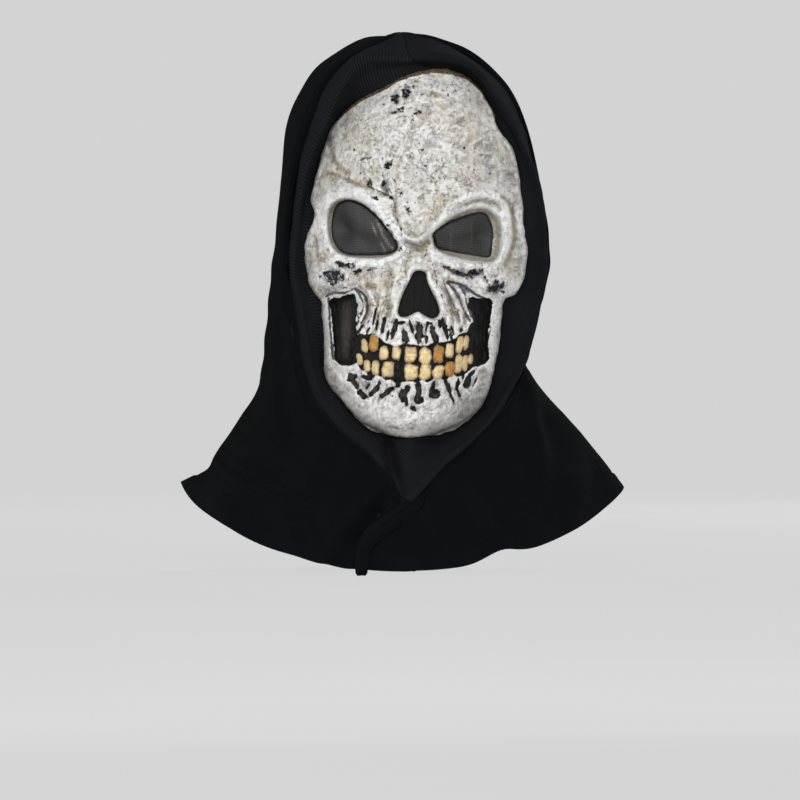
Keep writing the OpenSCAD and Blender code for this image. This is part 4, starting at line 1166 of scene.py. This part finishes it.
# The facing: the ribbed band sewn inside the hood's rolled edge and glued behind the latex.
# Each station has a place on the latex's outline, the place of the band's crest, and the section of
# the hood that it is sewn to: latex x, z, crest x, y, z, section.
FACING_LEFT = [
    (2, 115.2, -2, -78, 123.2, 0.0), (-9, 112.3, -12, -78, 123.4, 1.0), (-20, 107, -25, -78, 123, 2.0),
    (-33, 99.5, -38, -76, 120, 3.0), (-50, 89.5, -50, -72, 103, 4.0), (-62, 77.5, -60, -62, 81, 5.0),
    (-71, 53, -73, -52, 52, 5.65), (-76, 30, -79, -46, 28, 6.3), (-76.3, 0, -82, -42, 0, 7.0),
    (-78, -26, -84, -43, -26, 7.9), (-66, -54, -78, -46, -56, 8.85), (-62, -82, -73, -56, -86, 9.85),
    (-59.6, -104, -68, -68, -106, 10.75), (-50, -117.5, -59, -80, -124, 11.45),
    (-36, -132.5, -42, -90, -140, 12.1), (-22, -141.5, -27, -99, -156, 12.6),
    (-11, -143.4, -15, -102, -168, 12.9),
]
FACING_RIGHT = [
    (5, 116, 6, -78, 123.2, 0.0), (15, 116, 18, -78, 123.2, 1.0), (27, 112.5, 32, -77, 121, 2.0),
    (39, 103, 46, -73, 113, 3.0), (49, 85, 59, -64, 96, 4.0), (60, 68, 72, -50, 76, 5.0),
    (66, 57, 78.5, -42, 61, 5.4), (70.5, 35, 87.5, -34, 43, 6.0), (74, 10, 92.5, -28, 18, 6.6),
    (77, -5, 94.5, -26, -4, 7.1), (77.5, -25, 95, -26, -26, 7.9), (65, -45, 90, -30, -50, 8.7),
    (62, -70, 84.5, -38, -74, 9.5), (60, -88, 79.5, -48, -91, 10.1), (56, -108, 69.5, -66, -109, 10.9),
    (50, -121.5, 60.5, -80, -125, 11.6), (36, -135, 43, -97, -144, 12.1),
    (22, -141, 24, -108, -160, 12.55), (8, -143.2, 10, -113, -174, 12.85),
]
FACING_END = (0, -144, -5, -112.5, -187, 13.35)


def build_facing(material):
    """The facing as one closed band round the latex."""
    left = np.array(FACING_LEFT, float)
    right = np.array(FACING_RIGHT, float)[::-1]
    stations = np.concatenate([left, [FACING_END], right])
    side = np.concatenate([-np.ones(len(left)), [-1], np.ones(len(right))])
    rim_x, rim_z = stations[:, 0], stations[:, 1]
    inner_x, inner_z = rim_x * 0.92, rim_z * 0.95
    # the latex is sunk at the temples, and the cloth goes behind it there
    behind = LATEX_THICK + 1.4 + 1.5 + 4 * sum(bump(rim_x, rim_z, *temple) for temple in TEMPLES)
    glued = face_frame(rim_x, face_base(rim_x, rim_z) + behind, rim_z)
    inner = face_frame(inner_x, face_base(inner_x, inner_z) + behind + 1.0, inner_z)
    crest = stations[:, [2, 3, 4]]
    hood = np.zeros((len(stations), 3))
    tucked = np.zeros((len(stations), 3))
    for i, (section, s) in enumerate(zip(stations[:, 5], side)):
        at = np.array([section])
        turn = soft_table(EDGE_LEFT if s < 0 else EDGE_RIGHT, at, 0.2)
        deeper = 6 * smooth(12.0, 12.6, at)
        hood[i] = hood_surface(at, turn + 2.5, s, 3.2 + deeper)[0]
        tucked[i] = hood_surface(at, turn + 9, s, 4.2 + 1.5 * deeper)[0]
    half = (glued + crest) / 2
    half[:, 1] += np.where(side < 0, 2.0, np.where(rim_z < -100, 6.0, -2.0))
    controls = np.stack([inner, glued, half, crest, hood, tucked], 1)
    around = spline(controls.reshape(len(controls), -1), 10, True).reshape(-1, 6, 3)
    points = np.array([spline(row, 8) for row in around])
    normal = normals_of(points)
    normal *= np.sign((normal * (points - points.mean((0, 1)))).sum(2).mean())
    x, z = points[..., 0], points[..., 2]
    size = lengths_on(points)
    share = np.linspace(0, 1, points.shape[1])[None, :] + 0 * x
    # a crest along the fold and a few soft waves
    out = 1.3 * np.exp(-((share - 0.6) / 0.045) ** 2)
    out += 0.6 * noise(size[..., 1], size[..., 0] * 2, 22, 700, 3)
    points = points + normal * out[..., None]
    # a deep valley under the chin, and a low ridge beside it
    under = smooth(-142, -152, z)
    valley = np.exp(-np.abs((x - (-15 + (z + 160) * -0.25)) / 4.6) ** 3)
    points[..., 1] += (4 + 11 * smooth(-180, -166, z)) * under * valley
    points[..., 1] -= 2.0 * under * np.exp(-((x - (1 + (z + 160) * -0.1)) / 7) ** 2)
    number = np.arange(x.size).reshape(x.shape)
    number = np.concatenate([number, number[:1]])
    faces = np.stack([number[:-1, :-1], number[:-1, 1:], number[1:, 1:], number[1:, :-1]], -1).reshape(-1, 4)
    piece = make_mesh("hood_facing", points.reshape(-1, 3), faces, material)
    cloth = np.stack([size[..., 1], size[..., 0], 0 * x], -1)
    place(piece, "cloth", cloth.reshape(-1, 3))
    thicken(piece, FACING_THICK)
    dress(piece, "face_facing")


def front_depth(x, z, clear):
    """Depth just in front of the hood's panels at places seen from the front."""
    cloud = np.concatenate([left_points.reshape(-1, 3), right_points.reshape(-1, 3)])
    cloud = cloud[(cloud[:, 1] < -60) & (cloud[:, 2] < -150)]
    depth = np.zeros(x.shape)
    for index in np.ndindex(x.shape):
        near = np.hypot(cloud[:, 0] - x[index], cloud[:, 2] - z[index]) < 5
        depth[index] = cloud[near, 1].min() if near.any() else -112
    return blur(depth, 2) - clear


def build_strip(material):
    """The right panel's hemmed front edge, lying over the left panel and hanging to the hem."""
    path = spline([(7, -181), (2, -188), (-6, -195.5), (-15, -202.5), (-25, -209.5), (-32, -217),
                   (-34.5, -227), (-35, -239.5)], 12)
    tangent = directions(path)
    width = np.interp(np.linspace(0, 1, len(path)), [0, 0.15, 0.6, 0.97, 1], [4, 12, 12, 8, 5])
    share = np.linspace(-0.5, 0.5, 22)
    x = path[:, :1] + tangent[:, 1:] * width[:, None] * share
    z = path[:, 1:] - tangent[:, :1] * width[:, None] * share
    # a bead along the fold, then a line of stitches, then the turned-in layer sloping down
    hem = 1.0 * np.exp(-((share - 0.40) / 0.08) ** 2) - 0.6 * np.exp(-((share - 0.08) / 0.05) ** 2)
    hem += 0.4 * np.exp(-((share + 0.2) / 0.12) ** 2) - 1.6 * smooth(-0.1, -0.5, share)
    raised = smooth(0.9, 0.6, np.linspace(0, 1, len(path)))[:, None]
    points = np.stack([x, front_depth(x, z, 0.3) - (0.3 + 0.7 * raised) * hem, z], -1)
    piece = cloth_mesh("front_band", points, material, BAND_THICK)
    dress(piece, "front_strip")


def tube(path, radius, sides):
    """Points and faces of a round thread along a path."""
    tangent = directions(path)
    aside = np.cross(tangent, (0.31, 0.9, 0.3))
    aside /= np.linalg.norm(aside, axis=1, keepdims=True)
    other = np.cross(tangent, aside)
    turn = np.linspace(0, 2 * math.pi, sides, endpoint=False)[None, :, None]
    points = path[:, None] + radius * (np.cos(turn) * aside[:, None] + np.sin(turn) * other[:, None])
    return points, ring_faces(len(path), sides)


def ring_faces(rows, sides):
    """Faces of a tube of rings, closed at both ends."""
    number = np.arange(rows * sides).reshape(rows, sides)
    number = np.concatenate([number, number[:, :1]], 1)
    faces = np.stack([number[:-1, :-1], number[:-1, 1:], number[1:, 1:], number[1:, :-1]], -1).reshape(-1, 4)
    ends = [tuple(number[0, :-1][::-1]), tuple(number[-1, :-1])]
    return [tuple(f) for f in faces] + ends


# Hand stitches that hold the crossed edges: how many, points along each, and the thread
STITCHES, STITCH_POINTS, THREAD_SIDES, THREAD_RADIUS = 5, 14, 8, 0.32


def build_tack(material):
    """A bar of hand stitches that holds the crossed edges together."""
    points, faces = [], []
    for i in range(STITCHES):
        t = np.linspace(-1, 1, STITCH_POINTS)
        x = -4 + 4.2 * t + 0.2 * np.sin(3 * t + i)
        z = -187 + (i - 2) * 0.55 + 0.35 * np.sin(2.2 * t + 2 * i)
        y = front_depth(x[:, None], z[:, None], 1.0)[:, 0] + 1.6 * np.abs(t) ** 6
        ring, sides = tube(np.stack([x, y, z], 1), THREAD_RADIUS, THREAD_SIDES)
        first = i * STITCH_POINTS * THREAD_SIDES
        faces += [tuple(k + first for k in f) for f in sides]
        points.append(ring.reshape(-1, 3))
    piece = make_mesh("neck_stitches", np.concatenate(points), faces, material)
    dress(piece, "neck_tack")


# The seam allowance: the length of its rows, and of one loop of thread
SEAM_STEP, LOOP_PITCH = 0.8, 3.2


def build_seam(material):
    """The seam allowance between the two panels, its two edges sewn over with loops of thread."""
    crown = hood_surface(np.zeros(30), np.linspace(50, 180, 30), -1)
    back_t = np.linspace(0, len(HOOD_ROWS) - 1, 330)[1:]
    back = hood_surface(back_t, 180 + 0 * back_t, -1)
    path = np.concatenate([crown, back])
    length = np.concatenate([[0], np.cumsum(np.linalg.norm(np.diff(path, axis=0), axis=1))])
    even = np.arange(0, length[-1] - 1.5, SEAM_STEP)
    path = np.stack([np.interp(even, length, path[:, k]) for k in range(3)], 1)
    tangent = directions(path)
    outwards = np.cross((1, 0, 0), tangent)
    outwards *= np.sign((outwards * (path - (0, 10, -20))).sum(1))[:, None]
    section = [(1.5, -1.6), (1.5, -3), (1.2, -4.2), (1.5, -5.6), (1.5, -7.6), (0.8, -8.8)]
    section += [(-a, b) for a, b in section[::-1]]
    loops = 1 + 0.25 * np.sin(2 * math.pi * even / LOOP_PITCH)
    points = np.zeros((len(path), len(section), 3))
    for k, (aside, depth) in enumerate(section):
        swell = loops if depth < -5 else 1 + 0 * loops
        points[:, k] = path + outwards * (depth * (0.75 + 0.25 * swell))[:, None]
        points[:, k, 0] += aside * swell
    piece = make_mesh("hood_seam", points.reshape(-1, 3), ring_faces(len(path), len(section)), material)
    dress(piece, "centre_seam")


# Elastic band round the head: its middle, the half widths of its outer and inner layers, where its
# curve round the back starts, where the slots turn it, its lower and upper edge, and its thickness
STRAP_MIDDLE, STRAP_REACH, STRAP_INNER, STRAP_BACK, STRAP_SLOT = 4.5, 71.8, 68.2, 24, -34.4
STRAP_LOW, STRAP_HIGH, STRAP_THICK = 6, 26, 1.3
# A blank label: its size and thickness, the depth and height of its sewn top edge, and how far down
# it reaches. It curves as it hangs, so that is a little less than its own length.
LABEL_WIDE, LABEL_TALL, LABEL_THICK = 24, 34, 0.4
LABEL_Y, LABEL_TOP, LABEL_DROP = 80.4, -78.5, 32.8


def build_strap(material):
    """The elastic: free tail, right tab, round the back of the head, left tab, sewn end."""
    turn = np.linspace(0, math.pi, 60)
    behind = np.stack([STRAP_REACH * np.cos(turn), STRAP_BACK + STRAP_REACH * np.sin(turn)], 1)
    middle = (STRAP_REACH + STRAP_INNER) / 2
    slot = [(STRAP_INNER, STRAP_SLOT + 2), (STRAP_INNER + 0.3, STRAP_SLOT + 0.5), (middle, STRAP_SLOT),
            (STRAP_REACH - 0.3, STRAP_SLOT + 0.5), (STRAP_REACH, STRAP_SLOT + 2)]
    tail = [(STRAP_INNER, y) for y in np.linspace(STRAP_BACK - 3, STRAP_SLOT + 6, 14)]
    side = [(STRAP_REACH, y) for y in np.linspace(STRAP_SLOT + 6, STRAP_BACK - 3, 14)]
    sewn = [(-STRAP_INNER, y) for y in np.linspace(STRAP_SLOT + 6, STRAP_SLOT + 21, 5)]
    mirrored = [(-x, y) for x, y in slot[::-1]]
    line = tail + slot + side + list(map(tuple, behind)) + [(-x, y) for x, y in side[::-1]] + mirrored + sewn
    path = spline(line, 3) + (STRAP_MIDDLE, 0)
    # an upright band along the path, with slightly rolled edges
    tangent = directions(path)
    up = np.linspace(0, 1, 13)
    roll = 0.25 * np.abs(2 * up - 1) ** 8
    points = np.zeros((len(path), len(up), 3))
    points[..., 0] = path[:, :1] + tangent[:, 1:] * roll
    points[..., 1] = path[:, 1:] - tangent[:, :1] * roll
    points[..., 2] = STRAP_LOW + (STRAP_HIGH - STRAP_LOW) * up
    piece = cloth_mesh("elastic_band", points, material, STRAP_THICK)
    dress(piece, "elastic_strap")


def build_label(material):
    """A small blank label, sewn by its top edge into the seam allowance."""
    down = np.linspace(0, 1, 24)[:, None]
    across = np.linspace(-LABEL_WIDE / 2, LABEL_WIDE / 2, 17)[None, :]
    y = LABEL_Y - 3.2 * down ** 2 * np.cos(across / 9) - 0.4 * np.sin(down * 7)
    points = np.stack([across + 0 * down, y, LABEL_TOP - LABEL_DROP * down + 0 * across], -1)
    piece = cloth_mesh("blank_label", points, material, LABEL_THICK)
    dress(piece, "care_label")


EDGE_ROUND = 0.35


def finish_part(node, material):
    """A CAD part keeps its shape and gets its material and slightly rounded edges."""
    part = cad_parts[node]
    for each in part.material_slots:
        each.material = material
    edges = part.modifiers.new("edges", "BEVEL")
    edges.width, edges.segments, edges.limit_method = EDGE_ROUND * MM, 2, "ANGLE"


hood_cloth = knitted("black_knit", (0.0030, 0.0032, 0.0036), sheen=0.012)
# painted light: the ribbed facing is coloured about twice as light as the hood, for the light that its ribs
# catch
facing_cloth = knitted("ribbed_knit", (0.0066, 0.0068, 0.0077), ribs=0.9, sheen=0.01)
left_points = build_panel("hood_left", "hood_panel_left", -1, EDGE_LEFT, LEFT_FOLDS, hood_cloth)
right_points = build_panel("hood_right", "hood_panel_right", 1, EDGE_RIGHT, RIGHT_FOLDS, hood_cloth)
build_facing(facing_cloth)
thread = sewing_thread()
build_strip(hood_cloth)
build_tack(thread)
build_seam(thread)
build_strap(woven_elastic())
build_label(label_cloth())
tab_plastic = moulded("tab_plastic", (0.017, 0.017, 0.018))
patch_latex = raw_latex()
for at_side in ("left", "right"):
    finish_part("strap_tab_" + at_side, tab_plastic)
    finish_part("tab_patch_" + at_side, patch_latex)
finish_part("strap_slider", moulded("slider_plastic", (0.010, 0.010, 0.011), 0.3))


# ---------------------------------------------------------------- stage, light and camera
# The stage from the side: the floor's near end, a row near the object, where the floor starts to curve
# up, the radius of that curve, the top of the backdrop, and half the stage's width
FLOOR_NEAR, FLOOR_ROW, FLOOR_REACH, FLOOR_BEND, WALL_TOP, STAGE_HALF = -9000, -400, 4200, 500, 5000, 8000
STAGE_GLOW = 0.64
ROOM_LIGHT = 0.26
# Lamps: name, place, what each is aimed at, size, power
FRONT = (0, -0.06, -0.03)
LAMPS = [
    ("key", (-0.9, -2.4, 1.0), FRONT, (1.3, 1.3), 41),
    ("fill", (0.5, -1.9, 0.2), (0, -0.06, -0.1), (1.5, 0.4), 22),
    ("top", (0.1, 0.3, 2.2), FRONT, (1.6, 1.6), 3),
    ("behind", (1.4, 2.4, 0.9), FRONT, (1.1, 1.1), 110),
    ("left_rim", (-2.2, 0.5, 0.5), FRONT, (0.9, 1.2), 12),
    ("right_rim", (2.0, 0.7, 0.6), FRONT, (0.9, 1.6), 6),
]
# The camera looks level along +Y, a little left of the middle and below the eyes, in metres. It sees
# VIEW_WIDTH across at the depth VIEW_FRONT, near the front of the face.
VIEW_WIDTH = 0.560
VIEW_DISTANCE = 4.0
VIEW_MIDDLE = (-0.0084, -0.1176)
VIEW_FRONT = -0.09
SENSOR_WIDTH = 36


def area_light(name, place_at, aim, size, power):
    """A soft rectangular light, aimed at a point."""
    lamp = bpy.data.lights.new(name, "AREA")
    lamp.shape = "RECTANGLE"
    lamp.size, lamp.size_y = size
    lamp.energy = power
    made = bpy.data.objects.new(name, lamp)
    bpy.context.scene.collection.objects.link(made)
    made.location = place_at
    direction = Vector(aim) - Vector(place_at)
    made.rotation_euler = direction.to_track_quat("-Z", "Y").to_euler()


def build_stage():
    """A pale floor that curves up into a backdrop behind the object."""
    floor_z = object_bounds()[0].z / MM
    rows = [(FLOOR_NEAR, 0), (FLOOR_ROW, 0)]
    for angle in np.linspace(0, math.pi / 2, 13):
        rows.append((FLOOR_REACH + FLOOR_BEND * math.sin(angle), FLOOR_BEND * (1 - math.cos(angle))))
    rows.append((FLOOR_REACH + FLOOR_BEND, WALL_TOP))
    points = [(side * STAGE_HALF, y, floor_z + z) for y, z in rows for side in (-1, 1)]
    faces = [(2 * i, 2 * i + 1, 2 * i + 3, 2 * i + 2) for i in range(len(rows) - 1)]
    p = Paint("pale_paper", roughness=0.9, specular=0.0)
    # mostly its own even glow, so that the lamps leave no bright bands on it
    colour = p.mix(p.step(p.noise(300, 2, 0.5), 0.3, 0.7), (0.018, 0.018, 0.018), (0.022, 0.022, 0.022))
    p.shader.inputs["Emission Color"].default_value = (1, 1, 1, 1)
    p.shader.inputs["Emission Strength"].default_value = STAGE_GLOW
    floor = make_mesh("stage_floor", points, faces, p.finish(colour))


build_stage()
for lamp_settings in LAMPS:
    area_light(*lamp_settings)

world = bpy.data.worlds.new("soft_room")
world.use_nodes = True
world.node_tree.nodes["Background"].inputs["Color"].default_value = (1, 1, 1, 1)
world.node_tree.nodes["Background"].inputs["Strength"].default_value = ROOM_LIGHT
bpy.context.scene.world = world

camera = bpy.data.cameras.new("camera")
camera.sensor_width = SENSOR_WIDTH
camera.lens = SENSOR_WIDTH * VIEW_DISTANCE / VIEW_WIDTH
viewer = bpy.data.objects.new("camera", camera)
bpy.context.scene.collection.objects.link(viewer)
viewer.location = (VIEW_MIDDLE[0], VIEW_FRONT - VIEW_DISTANCE, VIEW_MIDDLE[1])
viewer.rotation_euler = (math.pi / 2, 0, 0)
bpy.context.scene.camera = viewer
bpy.context.scene.view_settings.view_transform = "Standard"
